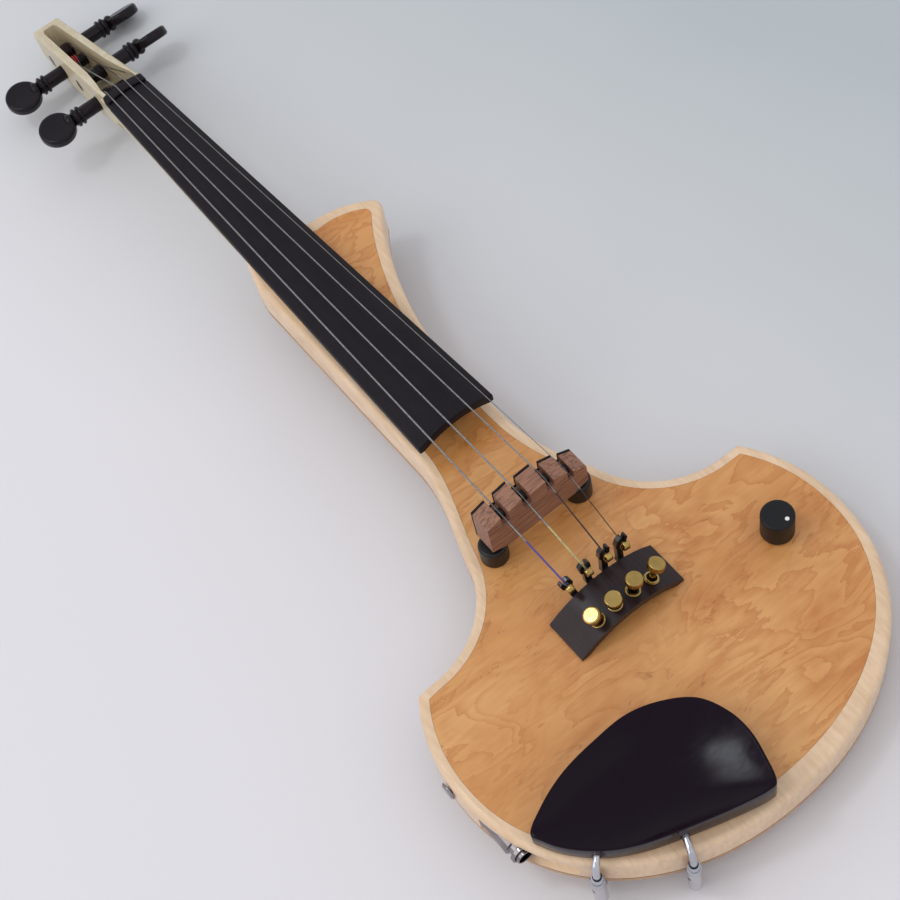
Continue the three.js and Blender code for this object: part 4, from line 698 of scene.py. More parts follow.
field = maths(tree, "ADD", maths(tree, "MULTIPLY", warp, WARP[1]), maths(tree, "MULTIPLY", jag, JAG[1]))
patches = noise(tree, stretched, PATCH[0], 3, 0.6, 1.2)
spots = noise(tree, places(tree, turn=GRAIN_TURN), FEATHER_SPOT[0], 2, 0.5, 0.3)
where = ranged(tree, spots, *FEATHER_SPOT[1:])
feather = maths(tree, "MULTIPLY", maths(tree, "POWER", maths(tree, "FRACT", field), FEATHER[0]), where)
base = mixed(tree, ranged(tree, patches, *PATCH[1:]), linear(VENEER_LIGHT), linear(VENEER))
second = noise(tree, places(tree, (0.5, 1, 1), GRAIN_TURN, (3, 1, 0)), BLOTCH[0], 3, 0.6, 1.6)
base = mixed(tree, ranged(tree, second, *BLOTCH[1:3], 0, BLOTCH[3]), base, linear(VENEER_DARK))
base = mixed(tree, maths(tree, "MULTIPLY", feather, FEATHER[1]), base, linear(VENEER_DARK))
ridge_source = noise(tree, places(tree, (0.3, 1, 1), GRAIN_TURN, (7, 2, 0)), RIDGE[0], 5, 0.72, 0.9)
ridge = maths(tree, "ABSOLUTE", maths(tree, "SUBTRACT", ridge_source, 0.5))
lines = maths(tree, "MULTIPLY", ranged(tree, ridge, 0, RIDGE[1], 1, 0), ranged(tree, second, *RIDGE_SPOT))
base = mixed(tree, maths(tree, "MULTIPLY", lines, RIDGE[2]), base, linear(FIGURE_BROWN))
fibres = noise(tree, places(tree, (0.12, 1.0, 1.0), GRAIN_TURN), FIBRE[0], 4, 0.6)
base = mixed(tree, ranged(tree, fibres, 0.35, 0.7, 0, FIBRE[1]), base, linear(VENEER_DARK))
tree.links.new(base, shader.inputs["Base Color"])
tree.links.new(ranged(tree, fibres, 0.3, 0.7, *VENEER_GLOSS), shader.inputs["Roughness"])
bumped(tree, shader, fibres, *VENEER_RELIEF)
inlay = slab("top_veneer_finish", veneer_edge, BODY_THICKNESS - VENEER_THICKNESS, BODY_THICKNESS)
carved(inlay, upright(VOLUME, 0, BODY_THICKNESS + PAST, BUSH_HOLE))
finished(inlay, veneer, "top_veneer")

# Fingerboard and nut: an arched board glued on the neck, tapered to the nut and scooped out under
# its free end, and a low nut of the same oiled ebony with a slot for each string.
EBONY = ((20, 14, 20), (30, 24, 29))
CLOSE_RELIEF = (0.2, 0.00003)
STRINGS = ("g", "d", "a", "e")
STRING_RADIUS = {"g": 0.00042, "d": 0.0004, "a": 0.00036, "e": 0.0002}
BOARD_END = (0.0535, 0.02015, 0.0112)
BOARD_NUT = (0.328, 0.012, -0.0066)
BOARD_EDGE = 0.0042
BOARD_RADIUS = 0.042
BOARD_SCOOP = (0.0044, 0.108, 0.0026)
BOARD_EASE = 0.0006
NUT = (0.3283, 0.3336, 0.0117, 0.0012)
NUT_PITCH = 0.0056
NUT_ACTION = 0.0009
NUT_SLOT_GAP = 0.0001
NUT_EASE = 0.0007
ARC_POINTS = 33


def board_half(y):
    """Half width of the fingerboard at a distance along it, straight from end to end."""
    return float(np.interp(y, (BOARD_END[0], BOARD_NUT[0]), (BOARD_END[1], BOARD_NUT[1])))


def glue_plane(y):
    """Height of the plane between fingerboard and neck."""
    slope = (BOARD_NUT[2] - BOARD_END[2]) / (BOARD_NUT[0] - BOARD_END[0])
    return BODY_THICKNESS + BOARD_END[2] + slope * (y - BOARD_END[0])


def board_top(x, y):
    """Height of the fingerboard's top: an arc across it, over sides of one height."""
    return glue_plane(y) + BOARD_EDGE + np.sqrt(BOARD_RADIUS ** 2 - x * x) - math.sqrt(
        BOARD_RADIUS ** 2 - board_half(y) ** 2)


def eased(made, width, segments=3, angle=SHARP):
    """A bevel on a piece's sharp edges."""
    bevel = made.modifiers.new("eased", "BEVEL")
    bevel.width = width
    bevel.segments = segments
    bevel.limit_method = "ANGLE"
    bevel.angle_limit = math.radians(angle)
    return bevel


def eased_edges(made, width, segments=3):
    """Rounds a piece's sharp edges with a bevel that is made part of its mesh."""
    eased(made, width, segments)
    return settled(made)


def fibre(tree, given):
    """A dark close surface: faint fibres mix two colours, and fibres and smears break the gloss."""
    fine = noise(tree, places(tree, given["Stretch"]), given["Scale"], 5, 0.65)
    smear = ranged(tree, noise(tree, places(tree), 60, 3), 0.35, 0.65, -0.5, 0.5)
    uneven = maths(tree, "ADD", ranged(tree, fine, 0.3, 0.7, -0.5, 0.5), smear)
    return {
        "Base Color": mixed(tree, ranged(tree, fine, 0.45, 0.75), given["Main"], given["Second"]),
        "Roughness": maths(tree, "ADD", maths(tree, "MULTIPLY", uneven, given["Spread"]), given["Gloss"]),
        "Height": fine,
    }


close_grain = group_of("close_grain", fibre, Stretch="Vector", Scale="Float", Spread="Float")


def streaks_of(name, colours, scale, gloss, stretch=(1, 1, 1), coat=0.0, specular=0.3, spread=0.08):
    """A close-grained wood, plastic or coating with its own colours and streaks."""
    return surface_of(
        name, close_grain, colours, gloss, CLOSE_RELIEF,
        {"Stretch": stretch, "Scale": scale, "Spread": spread},
        coat=coat, coat_roughness=0.06, specular=specular,
    )


ebony = streaks_of("ebony", EBONY, 160, 0.55, (6, 0.5, 6), specular=0.2)
board_rings = []
for y in np.linspace(BOARD_END[0], BOARD_SCOOP[1], 24).tolist() + [BOARD_NUT[0]]:
    half, plane, row = board_half(y), glue_plane(y), np.full(ARC_POINTS, y)
    hollow = BOARD_SCOOP[0] * max(0.0, 1 - (y - BOARD_END[0]) / (BOARD_SCOOP[1] - BOARD_END[0]))
    share = np.linspace(-1, 1, ARC_POINTS)
    under = np.stack([-(half - BOARD_SCOOP[2]) * share, row, plane + hollow * (1 - share * share)], -1)
    over = np.stack([half * share, row, board_top(half * share, y)], -1)
    board_rings.append(np.concatenate([[[half, y, plane]], under, [[-half, y, plane]], over]))
board = lofted("fingerboard_finish", board_rings)
finished(eased_edges(board, BOARD_EASE), ebony, "fingerboard")

nut_rings = []
for y in NUT[:2]:
    x = np.linspace(-NUT[2], NUT[2], ARC_POINTS)
    top = np.stack([x, np.full(ARC_POINTS, y), board_top(x, BOARD_NUT[0]) + NUT[3]], -1)
    nut_rings.append(np.concatenate([[[NUT[2], y, glue_plane(y)], [-NUT[2], y, glue_plane(y)]], top]))
nut = eased_edges(lofted("nut_finish", nut_rings), NUT_EASE)
nut_slots = []
for index, name in enumerate(STRINGS):
    x = (index - 1.5) * NUT_PITCH
    height = float(board_top(x, BOARD_NUT[0])) + NUT_ACTION
    half = STRING_RADIUS[name] + NUT_SLOT_GAP
    opening = rounded_rectangle(x, (NUT[0] + NUT[1]) / 2, half, NUT[1] - NUT[0], half / 2, 2)
    nut_slots.append(slab("nut_slot", opening, height - half, height + 4 * NUT_ACTION))
finished(carved(nut, *nut_slots), ebony, "nut")

# Neck and pegbox: one pale piece of maple with a dull finish, its heel behind the body's end
# and its open pegbox tilted back.
NECK_MAPLE = ((212, 200, 172), (190, 172, 136))
MERGE = 2e-6
NEARLY_FLAT = math.radians(0.6)


def refined(name, made_of, angle=SHARP, bevel=0.0, segments=2):
    """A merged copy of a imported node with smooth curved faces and, where given, eased edges."""
    made = in_scene(name + "_finish", nodes[name].data.copy())
    with opened(made) as shape:
        bmesh.ops.remove_doubles(shape, verts=shape.verts, dist=MERGE)
        bmesh.ops.dissolve_limit(
            shape, angle_limit=NEARLY_FLAT, verts=shape.verts, edges=shape.edges, delimit={"NORMAL"},
        )
    finished(made, made_of, name, angle=angle)
    if bevel:
        eased(made, bevel, segments, angle).harden_normals = True
    return made


neck_maple = wood_of("neck_maple", NECK_MAPLE, (4, 0.35, 4), 110, gloss=0.4, coat=0.2)
refined("neck", neck_maple, bevel=0.0005)

# Pegs: turned black wood, a tapered shaft through the pegbox, two rings, a small bulb and a flat head.
# Each head is turned its own way, as a tuned instrument's are.
PEGBOX_TILT = math.radians(17.8)
PEGBOX_PLACE = (0, 0.334, 0.0215)
PEGBOX_LENGTH = 0.0992
PEGBOX_HALF = (0.0109, 0.0082)
PEG_DEPTH = 0.013
PEGS = {
    "g": (0.212, -1, math.radians(24), 0.0105), "d": (0.696, -1, math.radians(24), 0.0108),
    "a": (0.867, 1, math.radians(-23), 0.0133), "e": (0.474, 1, math.radians(-29), 0.0113),
}
PEG_TIP = 0.00325
PEG_SHAFT = 0.0039
PEG_RING = (0.005, 0.0017, 0.0009)
PEG_BULB = (0.0044, 0.0044)
PEG_BULB_ARC = (math.radians(38), math.radians(148))
PEG_BULB_POWER = 0.8
PEG_HEAD = (0.0097, 0.0027, 0.0016)
PEG_HEAD_HOLLOW = 0.0005
PEG_HEAD_SHARES = (0.85, 0.65, 0.4, 0.15)
PEG_EASE = 0.0004
PEG_GROOVE = 0.0002
PEG_ROOT = (0.9, 0.8)
PEG_BLACK = ((14, 6, 14), (24, 14, 22))


def in_pegbox(*steps):
    """The place of the pegbox's frame, followed by further steps inside it."""
    matrix = Matrix.Translation(PEGBOX_PLACE) @ Matrix.Rotation(-PEGBOX_TILT, 4, "X")
    for step in steps:
        matrix = matrix @ step
    return matrix


def ring_profile(radius, start, width, round_share=0.4):
    """Profile points of a raised ring with rounded shoulders."""
    corner = rounding(width * round_share, 4)
    rise = [(radius - way, start + drop) for way, drop in corner[::-1]]
    return rise + [(radius - way, start + width - drop) for way, drop in corner]


peg_black = streaks_of("peg_black", PEG_BLACK, 200, 0.25, (1, 5, 5), specular=0.26)
for name, (share, side, turn, out) in PEGS.items():
    along = share * PEGBOX_LENGTH
    half = PEGBOX_HALF[0] + (PEGBOX_HALF[1] - PEGBOX_HALF[0]) * share
    shaft_end = half + out
    step = PEG_RING[1] + PEG_RING[2]
    bulb_start = shaft_end + 2 * step
    head_centre = bulb_start + PEG_HEAD[0]
    profile = [(0, -half), (PEG_TIP - PEG_EASE, -half), (PEG_TIP, PEG_EASE - half), (PEG_SHAFT, half),
               (PEG_SHAFT, shaft_end)]
    for start in (shaft_end, shaft_end + step):
        profile += ring_profile(PEG_RING[0], start, PEG_RING[1])
        profile += [(PEG_SHAFT, start + PEG_RING[1] + PEG_GROOVE), (PEG_SHAFT, start + step - PEG_GROOVE)]
    for angle in np.linspace(*PEG_BULB_ARC, 14):
        height = PEG_BULB[1] / 2 * (1 - math.cos(angle) / math.cos(PEG_BULB_ARC[0]))
        profile.append((PEG_BULB[0] * math.sin(angle) ** PEG_BULB_POWER, bulb_start + height))
    profile += [
        (PEG_HEAD[1] * PEG_ROOT[0], bulb_start + PEG_BULB[1]), (PEG_HEAD[1] * PEG_ROOT[1], head_centre),
        (0, head_centre),
    ]
    shaft = lathed("peg_" + name + "_finish", profile, 48)
    moved(shaft, in_pegbox(
        Matrix.Translation((0, along, -PEG_DEPTH)), Matrix.Rotation(side * math.pi / 2, 4, "Y"),
    ))
    rim, flat = PEG_HEAD[0] - PEG_HEAD[2], PEG_HEAD[1] - PEG_HEAD[2]
    edge = [
        (rim + PEG_HEAD[2] * math.cos(a), math.copysign(flat, a) + PEG_HEAD[2] * math.sin(a))
        for a in np.linspace(-math.pi / 2, math.pi / 2, 19)
    ]
    dish = [(rim * s, PEG_HEAD[1] - PEG_HEAD_HOLLOW * (1 - s * s)) for s in PEG_HEAD_SHARES]
    dish.append((0, dish[-1][1]))
    head = lathed("head", [(r, -h) for r, h in dish[::-1]] + edge + dish, 96)
    moved(head, in_pegbox(
        Matrix.Translation((side * head_centre, along, -PEG_DEPTH)), Matrix.Rotation(turn, 4, "X"),
    ))
    finished(carved(shaft, head, operation="UNION"), peg_black, "peg_" + name)

# Strings: each keeps its packed path from ball to peg. The bare length is plain or wound metal,
# and both ends are wrapped in coloured silk.
SILK_BRIDGE = {
    "g": ((92, 82, 168), -0.0155), "d": ((212, 204, 140), -0.0165), "a": ((70, 46, 40), -0.008),
    "e": ((48, 36, 36), -0.011),
}
SILK_PEG = {"g": (38, 24, 40), "d": (196, 44, 40), "a": (60, 34, 34), "e": (40, 34, 34)}
SILK_NUT_Y = {"g": 0.343, "d": 0.3925, "a": 0.343, "e": 0.343}
SILK_SHADE = 0.72
SILK_FADE = (0.0004, 0.0006)
SILK_RELIEF = (0.3, 0.00003)
BARE_METAL = ((0.2, 0.19, 0.19, 1), (0.34, 0.33, 0.32, 1))


def wrapping(tree, given):
    """A string along Y: silk of two tones behind the bridge, bare metal, and another silk past the nut."""
    lengthwise = shader_node(tree, "ShaderNodeSeparateXYZ", {"Vector": places(tree)}).outputs["Y"]
    fleck = noise(tree, places(tree), 1500, 2)
    bare = mixed(tree, ranged(tree, fleck, 0.35, 0.65), *BARE_METAL)
    silk = mixed(tree, ranged(tree, fleck, 0.3, 0.7), given["Main"], given["Second"])
    fade_from = maths(tree, "SUBTRACT", given["End"], SILK_FADE[0])
    fade_to = maths(tree, "ADD", given["Start"], SILK_FADE[1])
    behind = ranged(tree, lengthwise, fade_from, given["End"], 1, 0)
    beyond = ranged(tree, lengthwise, given["Start"], fade_to)
    wrapped = maths(tree, "MAXIMUM", behind, beyond)
    return {
        "Base Color": mixed(tree, beyond, mixed(tree, behind, bare, silk), given["Peg"]),
        "Metallic": ranged(tree, wrapped, 0, 1, 1, 0),
        "Roughness": ranged(tree, wrapped, 0, 1, given["Gloss"], 0.6),
        "Height": fleck,
    }


silk_wrap = group_of("silk_wrap", wrapping, Peg="Color", End="Float", Start="Float")
for name in STRINGS:
    tint, end = SILK_BRIDGE[name]
    colours = (tint, [value * SILK_SHADE for value in tint])
    ends = {"Peg": linear(SILK_PEG[name]), "End": end, "Start": SILK_NUT_Y[name]}
    made = surface_of("string_metal_" + name, silk_wrap, colours, 0.42, SILK_RELIEF, ends, metallic=1.0)
    refined("string_" + name, made, angle=60)

# Bridge: a walnut block with a slot and a saddle for each string, a thin black facing
# on its head side, and two round black feet that turn on their studs.
WALNUT = ((156, 110, 88), (58, 34, 24))
PLASTIC_BLACK = ((11, 10, 12), (24, 22, 24))
BRIDGE_FEET = {"bass": -0.0237, "treble": 0.0215}
FOOT = (0.0062, 0.0107)
FOOT_EASE = (0.0006, 0.0012)
FOOT_STUD = (0.0017, 0.0187)
CORNER_START = 0.2
walnut = streaks_of("walnut", WALNUT, 290, 0.5, (0.22, 3.5, 3.5), specular=0.35, spread=0.12)
plastic = streaks_of("black_plastic", PLASTIC_BLACK, 900, 0.38, specular=0.4)
refined("bridge_block", walnut, bevel=0.0007, segments=3)
refined("bridge_facing", ebony, bevel=0.00025)
for name in STRINGS:
    refined("saddle_" + name, plastic, bevel=0.0002)
foot_profile = [
    (0, 0), (FOOT[0] - FOOT_EASE[0], 0), (FOOT[0], FOOT_EASE[0]), (FOOT[0], FOOT[1] - FOOT_EASE[1]),
    *[(FOOT[0] - way, FOOT[1] - drop) for way, drop in rounding(FOOT_EASE[1], 5, CORNER_START)],
    (FOOT_STUD[0], FOOT[1]), FOOT_STUD, (0, FOOT_STUD[1]),
]
for place, x in BRIDGE_FEET.items():
    foot = lathed("bridge_foot_" + place + "_finish", foot_profile)
    moved(foot, Matrix.Translation((x, 0, BODY_THICKNESS)))
    finished(foot, plastic, "bridge_foot_" + place)

# Tailpiece: an arched black shell with a lever for each string under it. Gold knobs work the levers
# through gold collars, and each lever's fork holds the gold ball at its string's end.
ARCH_RADIUS = 0.0425
ARCH_AXIS_Z = BODY_THICKNESS + 0.0113 - ARCH_RADIUS
TUNER_X = {"g": -0.0129, "d": -0.0037, "a": 0.0058, "e": 0.0152}
TUNER_Y = -0.0549
KNOB_RISE = {"g": 0.0094, "d": 0.0066, "a": 0.0096, "e": 0.0106}
KNOB_RADIUS = 0.0038
KNOB_HEIGHT = 0.0034
KNOB_TEETH = 40
KNOB_TOOTH = 0.00014
KNOB_FOOT = ((0.0006, 0, 0), (0.0002, 0.0003, 0.5), (0, 0.0006, 1))
KNOB_CROWN = ((0, 0.0007, 1), (0.0001, 0.0004, 0.5), (0.0004, 0.0001, 0), (0.0007, 0, 0))
KNOB_GROOVE = (0.0009, 0.0004, 0.00004)
TAILPIECE_BLACK = ((36, 22, 24), (52, 34, 36))
COATED_BLACK = ((20, 18, 21), (30, 28, 30))
GOLD = ((184, 156, 92), (158, 130, 74))
METAL_RELIEF = (0.1, 0.00002)
SCREW = (0.0014, 0.0379)
COLLAR = (0.0023, 0.0033, 0.0012, 0.00005)
COLLAR_EASE = 0.0001
BALL = (0.0019, 0.0008, 0.0015, 0.0502)
BALL_Y = -0.04
BALL_EASE = 0.0004
BALL_SHIFT = {"g": 0.0012, "d": 0.0001, "a": -0.001, "e": -0.0034}


def on_arch(name):
    """The place of a frame on the arch's axis, leaned to one tuner."""
    lean = math.asin(TUNER_X[name] / ARCH_RADIUS)
    return Matrix.Translation((0, 0, ARCH_AXIS_Z)) @ Matrix.Rotation(lean, 4, "Y")


def wear(tree, given):
    """Plated metal: slight clouds mix two colours, and fine scratches break the gloss."""
    cloud = ranged(tree, noise(tree, places(tree), 90, 3), 0.4, 0.75)
    scratch = noise(tree, places(tree), 260, 4, 0.7)
    return {
        "Base Color": mixed(tree, cloud, given["Main"], given["Second"]),
        "Roughness": maths(tree, "MULTIPLY", ranged(tree, scratch, 0.35, 0.75, 0.75, 1.5), given["Gloss"]),
        "Height": scratch,
    }


metal_wear = group_of("metal_wear", wear)


def metal_of(name, colours, gloss):
    """A plated metal with its own colours and gloss."""
    return surface_of(name, metal_wear, colours, gloss, METAL_RELIEF, {}, metallic=1.0)


tailpiece_black = streaks_of("tailpiece_black", TAILPIECE_BLACK, 160, 0.34, (6, 0.5, 6), specular=0.28)
coated = streaks_of("coated_black", COATED_BLACK, 400, 0.28, coat=0.2, specular=0.5)
gold = metal_of("gold", GOLD, 0.2)
refined("tailpiece", tailpiece_black, bevel=0.0005)
for name in STRINGS:
    top = ARCH_RADIUS + KNOB_RISE[name]
    low = top - KNOB_HEIGHT
    sides = KNOB_TEETH * 4
    angle = np.arange(sides) * (2 * math.pi / sides)
    tooth = np.tile([1.0, 1.0, 0.0, 0.0], KNOB_TEETH)
    knob_profile = [(SCREW[0], SCREW[1], 0), (SCREW[0], low, 0)]
    knob_profile += [(KNOB_RADIUS - way, low + rise, cut) for way, rise, cut in KNOB_FOOT]
    knob_profile += [(KNOB_RADIUS - way, top - drop, cut) for way, drop, cut in KNOB_CROWN]
    inside, pitch, deep = KNOB_GROOVE
    for radius in np.arange(KNOB_RADIUS - inside, pitch, -pitch):
        knob_profile += [(radius, top - deep, 0), (radius - pitch / 2, top - deep / 2, 0)]
    rings = []
    for radius, height, cut in knob_profile:
        wide = radius - KNOB_TOOTH * cut * (1 - tooth)
        rings.append(np.stack([wide * np.cos(angle), wide * np.sin(angle), np.full(sides, height)], -1))
    tuner_place = on_arch(name) @ Matrix.Translation((0, TUNER_Y, 0))
    knob = moved(lofted("tuner_screw_" + name + "_finish", rings), tuner_place)
    finished(knob, gold, "tuner_screw_" + name, angle=24)
    bore, wide, seat, rim = *COLLAR[:2], ARCH_RADIUS + COLLAR[3], ARCH_RADIUS + COLLAR[2]
    middle, ease = (seat + rim) / 2, COLLAR_EASE
    collar = lathed("tuner_collar_" + name + "_finish", [
        (bore, seat), (wide - ease, seat), (wide, seat + ease), (wide, middle - ease),
        (wide - 3 * ease, middle), (wide - 3 * ease, middle + ease), (wide - 2 * ease, middle + 2 * ease),
        (wide - 2 * ease, rim - ease), (wide - 3 * ease, rim), (bore + ease, rim), (bore, rim - ease),
    ])
    finished(moved(collar, tuner_place), gold, "tuner_collar_" + name)
    wide, bore, half = BALL[:3]
    edge = [(wide - BALL_EASE, half), (wide - BALL_EASE / 3, half - BALL_EASE / 3), (wide, half - BALL_EASE)]
    ball = lathed("ball_end_" + name + "_finish", [
        (bore, -half), *[(radius, -height) for radius, height in edge], *edge[::-1], (bore, half),
    ], 48)
    ball_place = on_arch(name) @ Matrix.Translation((BALL_SHIFT[name], BALL_Y, BALL[3]))
    moved(ball, ball_place @ Matrix.Rotation(math.pi / 2, 4, "Y"))
    finished(ball, gold, "ball_end_" + name)
    refined("tuner_lever_" + name, coated, bevel=0.0004, segments=3)

# Chinrest: a polished black plate, dished for the chin, that wraps over the tail edge on a cork strip.
# Two turnbuckles at the body's edge pull a bracket up under the back.
CHINREST_SHARES = [
    (-0.9, -0.414), (-0.798, -0.341), (-0.65, -0.284), (-0.475, -0.263), (-0.315, -0.266), (-0.18, -0.322),
    (-0.064, -0.424), (-0.011, -0.57), (-0.004, -0.696), (-0.024, -0.814), (-0.071, -0.959), (-0.109, -0.962),
    (-0.19, -0.942), (-0.37, -0.879), (-0.612, -0.773), (-0.74, -0.678), (-0.844, -0.549), (-0.884, -0.466),
]
CHINREST_RIM = (0.012, 0.016)
CHINREST_DISH = (-0.42, -0.604)
CHINREST_FLOOR = 0.007
CHINREST_UNDER = 0.003
CHINREST_HEAD_EDGE = 0.0036
CHINREST_WRAP = (-0.379, -0.497)
CHINREST_LIP = (0.0013, 0.0009)
CHINREST_LOW_ROUND = (0.5, 0.0004)
CHINREST_UNDER_SHARES = (0.1, 0.3, 0.55, 0.8, 0.94)
CHINREST_DISH_SHARES = (0.97, 0.93, 0.88, 0.82, 0.74, 0.65, 0.55, 0.45, 0.35, 0.25, 0.16, 0.08)
CHINREST_STEPS = 14
CORK_SHARES = (0.72, 0.95, -0.2)
CORK_BACK = 0.001
CLAMP_BEARING = {"bass": math.radians(41.2), "tail": math.radians(63.5)}
CLAMP_STAND_OFF = 0.0012
CLAMP_ROD = (0.00155, 0.0062, 0.0158, 0.00025)
BARREL = (0.003, 0.0019, -0.002, -0.0265)
BARREL_COLLAR = (0.0025, 0.0034)
BARREL_HOLE = 0.0009
BARREL_EASE = 0.0003
WRAP_FADE = 0.004
POLISHED_BLACK = ((20, 6, 20), (24, 9, 24))
CORK = ((150, 112, 74), (92, 62, 38))
CHROME = ((200, 200, 206), (172, 172, 178))


def on_bout(share):
    """A point given as shares of the bout's half width and tail reach."""
    return np.array([share[0] * BOUT_HALF, BOUT_CENTRE_Y + share[1] * BOUT_TAIL_REACH])


def through(points, steps):
    """A closed curve through points: cubics whose slopes come from both neighbours, by their distance."""
    curve = []
    for index in range(len(points)):
        p0, p1, p2, p3 = (points[(index + step - 1) % len(points)] for step in range(4))
        d0, d1, d2 = (math.sqrt(np.linalg.norm(b - a)) for a, b in ((p0, p1), (p1, p2), (p2, p3)))
        t1 = ((p1 - p0) / d0 - (p2 - p0) / (d0 + d1) + (p2 - p1) / d1) * d1
        t2 = ((p2 - p1) / d1 - (p3 - p1) / (d1 + d2) + (p3 - p2) / d2) * d1
        for t in np.linspace(0, 1, steps, endpoint=False):
            curve.append(
                p1 + t1 * t + (3 * (p2 - p1) - 2 * t1 - t2) * t ** 2 + (2 * (p1 - p2) + t1 + t2) * t ** 3
            )
    return np.array(curve)


polished = streaks_of("polished_black", POLISHED_BLACK, 140, 0.16, (1, 4, 4), specular=0.12)
cork = streaks_of("cork", CORK, 420, 0.85, specular=0.2)
chrome = metal_of("chrome", CHROME, 0.09)
chinrest_edge = through([on_bout(share) for share in CHINREST_SHARES], CHINREST_STEPS)
dish_centre = on_bout(CHINREST_DISH)
tip_x, bend_x = (CHINREST_SHARES[index][0] * BOUT_HALF for index in (0, 1))
rim_height = BODY_THICKNESS + np.interp(chinrest_edge[:, 0], (tip_x, 0), CHINREST_RIM)
head_y, tail_y = (BOUT_CENTRE_Y + share * BOUT_TAIL_REACH for share in CHINREST_WRAP)
wrap = np.clip((head_y - chinrest_edge[:, 1]) / (head_y - tail_y), 0, 1)
wrap = wrap * wrap * (3 - 2 * wrap)
wrap = np.maximum(wrap, np.clip((bend_x - chinrest_edge[:, 0]) / WRAP_FADE + 0.5, 0, 1))
under_height = BODY_THICKNESS + CHINREST_UNDER
low_height = (1 - wrap) * (rim_height - CHINREST_HEAD_EDGE) + wrap * under_height
lip_share = 1 - CHINREST_LIP[0] / (dish_centre[0] - tip_x)


def chinrest_ring(share, height):
    """A ring of the chinrest: its edge drawn towards the dish's centre by a share, at given heights."""
    return np.column_stack([dish_centre + (chinrest_edge - dish_centre) * share, height])


plate_rings = [
    chinrest_ring(share, under_height + (low_height - under_height) * share)
    for share in CHINREST_UNDER_SHARES
]
inwards, rise = CHINREST_LOW_ROUND
plate_rings += [
    chinrest_ring(1 - (1 - lip_share) * inwards * (1 - math.sin(a)), low_height + rise * (1 - math.cos(a)))
    for a in np.linspace(0, math.pi / 2, 4)
]
plate_rings += [
    chinrest_ring(lip_share + (1 - lip_share) * math.cos(a), rim_height - CHINREST_LIP[1] * (1 - math.sin(a)))
    for a in np.linspace(0, math.pi / 2, 7)
]
floor = BODY_THICKNESS + CHINREST_FLOOR
plate_rings += [
    chinrest_ring(share, floor + (rim_height - floor) * (share / lip_share) ** 2)
    for share in CHINREST_DISH_SHARES
]
plate = lofted("chinrest_plate_finish", plate_rings)
clamp_place, clamp_way = {}, {}
for place, bearing in CLAMP_BEARING.items():
    share = np.array([math.cos(bearing), math.sin(bearing)]) ** (2 / BOUT_EXPONENT)
    way = -share ** (BOUT_EXPONENT - 1) / np.array([BOUT_HALF, BOUT_TAIL_REACH])
    clamp_way[place] = way / np.linalg.norm(way)
    clamp_place[place] = on_bout(-share) + clamp_way[place] * (BARREL[0] + CLAMP_STAND_OFF)
bores = []
for place, centre in clamp_place.items():
    height = BODY_THICKNESS + CLAMP_ROD[1]
    end = centre - clamp_way[place] * CLAMP_ROD[2]
    bores.append(rod((*centre, height), (*end, height), CLAMP_ROD[0] + CLAMP_ROD[3]))
finished(carved(plate, *bores), polished, "chinrest_plate", angle=50)

on_bass = chinrest_edge[:, 0] < CORK_SHARES[2] * BOUT_HALF
by_tail = (chinrest_edge[:, 1] < tail_y - CORK_BACK) & on_bass
tail_part = chinrest_edge[by_tail] - dish_centre
cork_outline = np.concatenate([
    dish_centre + tail_part * CORK_SHARES[1], (dish_centre + tail_part * CORK_SHARES[0])[::-1],
])
finished(slab("chinrest_cork_finish", cork_outline, BODY_THICKNESS, under_height), cork, "chinrest_cork")
barrel_top, barrel_end = BODY_THICKNESS + BARREL[2], BODY_THICKNESS + BARREL[3]
barrel_step = barrel_top - BARREL_COLLAR[1]
barrel_profile = [
    (BARREL[1], barrel_end), (BARREL[0] - BARREL_EASE, barrel_end), (BARREL[0], barrel_end + BARREL_EASE),
    (BARREL[0], barrel_step - BARREL_EASE), (BARREL[0] - BARREL_EASE, barrel_step),
    (BARREL_COLLAR[0], barrel_step), (BARREL_COLLAR[0], barrel_top - BARREL_EASE),
    (BARREL_COLLAR[0] - BARREL_EASE, barrel_top), (BARREL[1], barrel_top),
]
for place, centre in clamp_place.items():
    refined("clamp_rod_" + place, chrome, angle=50)
    barrel = lathed("clamp_barrel_" + place + "_finish", barrel_profile)
    moved(barrel, Matrix.Translation((*centre, 0)))
    middle = (barrel_top + barrel_end) / 2
    ends = [(centre[0] + side * 2 * BARREL[0], centre[1], middle) for side in (-1, 1)]
    finished(carved(barrel, rod(*ends, BARREL_HOLE, 24)), chrome, "clamp_barrel_" + place)
refined("clamp_foot", chrome, bevel=0.0003, angle=50)
refined("clamp_foot_cork", cork, bevel=0.0002)

# Volume knob: moulded in black plastic, hollow below, with a white dot let into its top.
# Below it are its potentiometer and nut, and in the back the plastic cover of the control cavity.
KNOB = (0.0072, 0.0144, 0.001, 0.001)
KNOB_EASE = 0.0003
KNOB_RECESS = (0.0059, 0.0034)
KNOB_SHAFT = (0.0028, 0.0114)
KNOB_DISH = ((0.7, 0.00008), (0.4, 0.00014), (0, 0.00016))
DOT = (0.0009, 0.0005, 0.0042, math.radians(-67), 0.00015)
DOT_TOP = 0.0001
SCREW_HEAD = (0.0023, 0.00015, 0.001)
SCREW_SHANK = (0.0012, 0.0046)
SCREW_CROSS = (0.0013, 0.0003, 0.0001, 0.0007)
SCREW_EASE = 0.0002
KNOB_BLACK = ((14, 14, 17), (22, 22, 25))
DOT_WHITE = ((238, 237, 231), (226, 224, 216))
STEEL = ((186, 188, 194), (160, 162, 168))
knob_black = streaks_of("knob_black", KNOB_BLACK, 900, 0.42)
white = streaks_of("white_plastic", DOT_WHITE, 600, 0.5, specular=0.4)
steel = metal_of("steel", STEEL, 0.26)
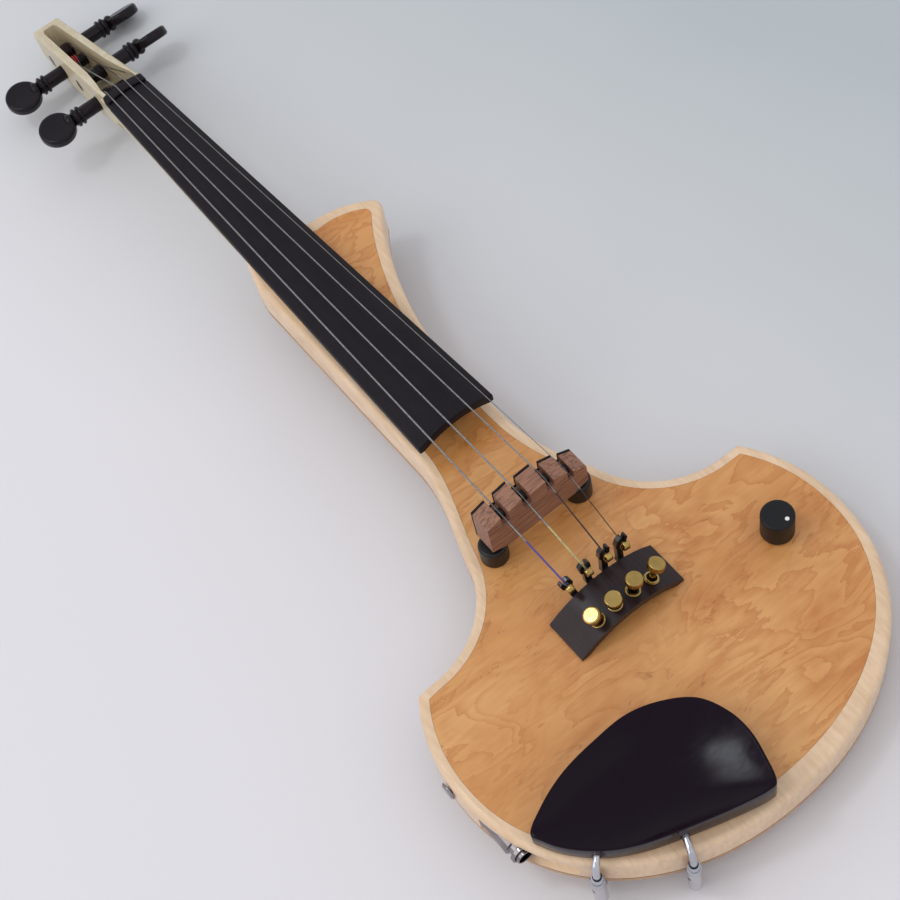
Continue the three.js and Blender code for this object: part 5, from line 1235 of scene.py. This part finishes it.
top, bottom, shaft_top = (BODY_THICKNESS + rise for rise in (KNOB[1], KNOB[2], KNOB_SHAFT[1]))
recess_top = bottom + KNOB_RECESS[1]
knob = lathed("volume_knob_finish", [
    (0, shaft_top), (KNOB_SHAFT[0], shaft_top), (KNOB_SHAFT[0], recess_top), (KNOB_RECESS[0], recess_top),
    (KNOB_RECESS[0], bottom), (KNOB[0] - KNOB_EASE, bottom), (KNOB[0], bottom + KNOB_EASE),
    (KNOB[0], top - KNOB[3]),
    *[(KNOB[0] - way, top - drop) for way, drop in rounding(KNOB[3], 6, CORNER_START)],
    *[(KNOB[0] * share, top - drop) for share, drop in KNOB_DISH],
], 96)
moved(knob, Matrix.Translation((*VOLUME, 0)))
dot_place = (VOLUME[0] + DOT[2] * math.cos(DOT[3]), VOLUME[1] + DOT[2] * math.sin(DOT[3]))
carved(knob, upright(dot_place, top - DOT[1], top + PAST, DOT[0] + DOT[4]))
finished(knob, knob_black, "volume_knob")
dot = upright(dot_place, top - DOT[1], top - DOT_TOP, DOT[0], 32, "volume_dot_finish")
finished(dot, white, "volume_dot")
for name in ("potentiometer", "pot_shaft", "pot_nut"):
    refined(name, steel, bevel=0.0003)
refined("cavity_cover", plastic, bevel=0.0003)
for name, (x, y) in zip(("cover_screw_1", "cover_screw_2"), screw_places):
    screw = eased_edges(lathed(name + "_finish", [
        (0, SCREW_HEAD[1]), SCREW_HEAD[:2], SCREW_HEAD[::2], (SCREW_SHANK[0], SCREW_HEAD[2]), SCREW_SHANK,
        (0, SCREW_SHANK[1]),
    ], 36), SCREW_EASE, 2)
    moved(screw, Matrix.Translation((x, y, 0)))
    long, short, corner, deep = SCREW_CROSS
    cross = [
        slab("cross", rounded_rectangle(x, y, half_x, half_y, corner, 2), -PAST, deep)
        for half_x, half_y in ((long, short), (short, long))
    ]
    finished(carved(screw, *cross), steel, name)

# Output jack with its nut in the cut-out of the bass side, and the strap button beside it.
# All three are nickel-plated, duller than the clamp's chrome.
NICKEL = ((158, 152, 154), (112, 104, 104))
nickel = metal_of("nickel", NICKEL, 0.16)
for name in ("output_jack", "jack_nut", "strap_button"):
    refined(name, nickel, bevel=0.0003)
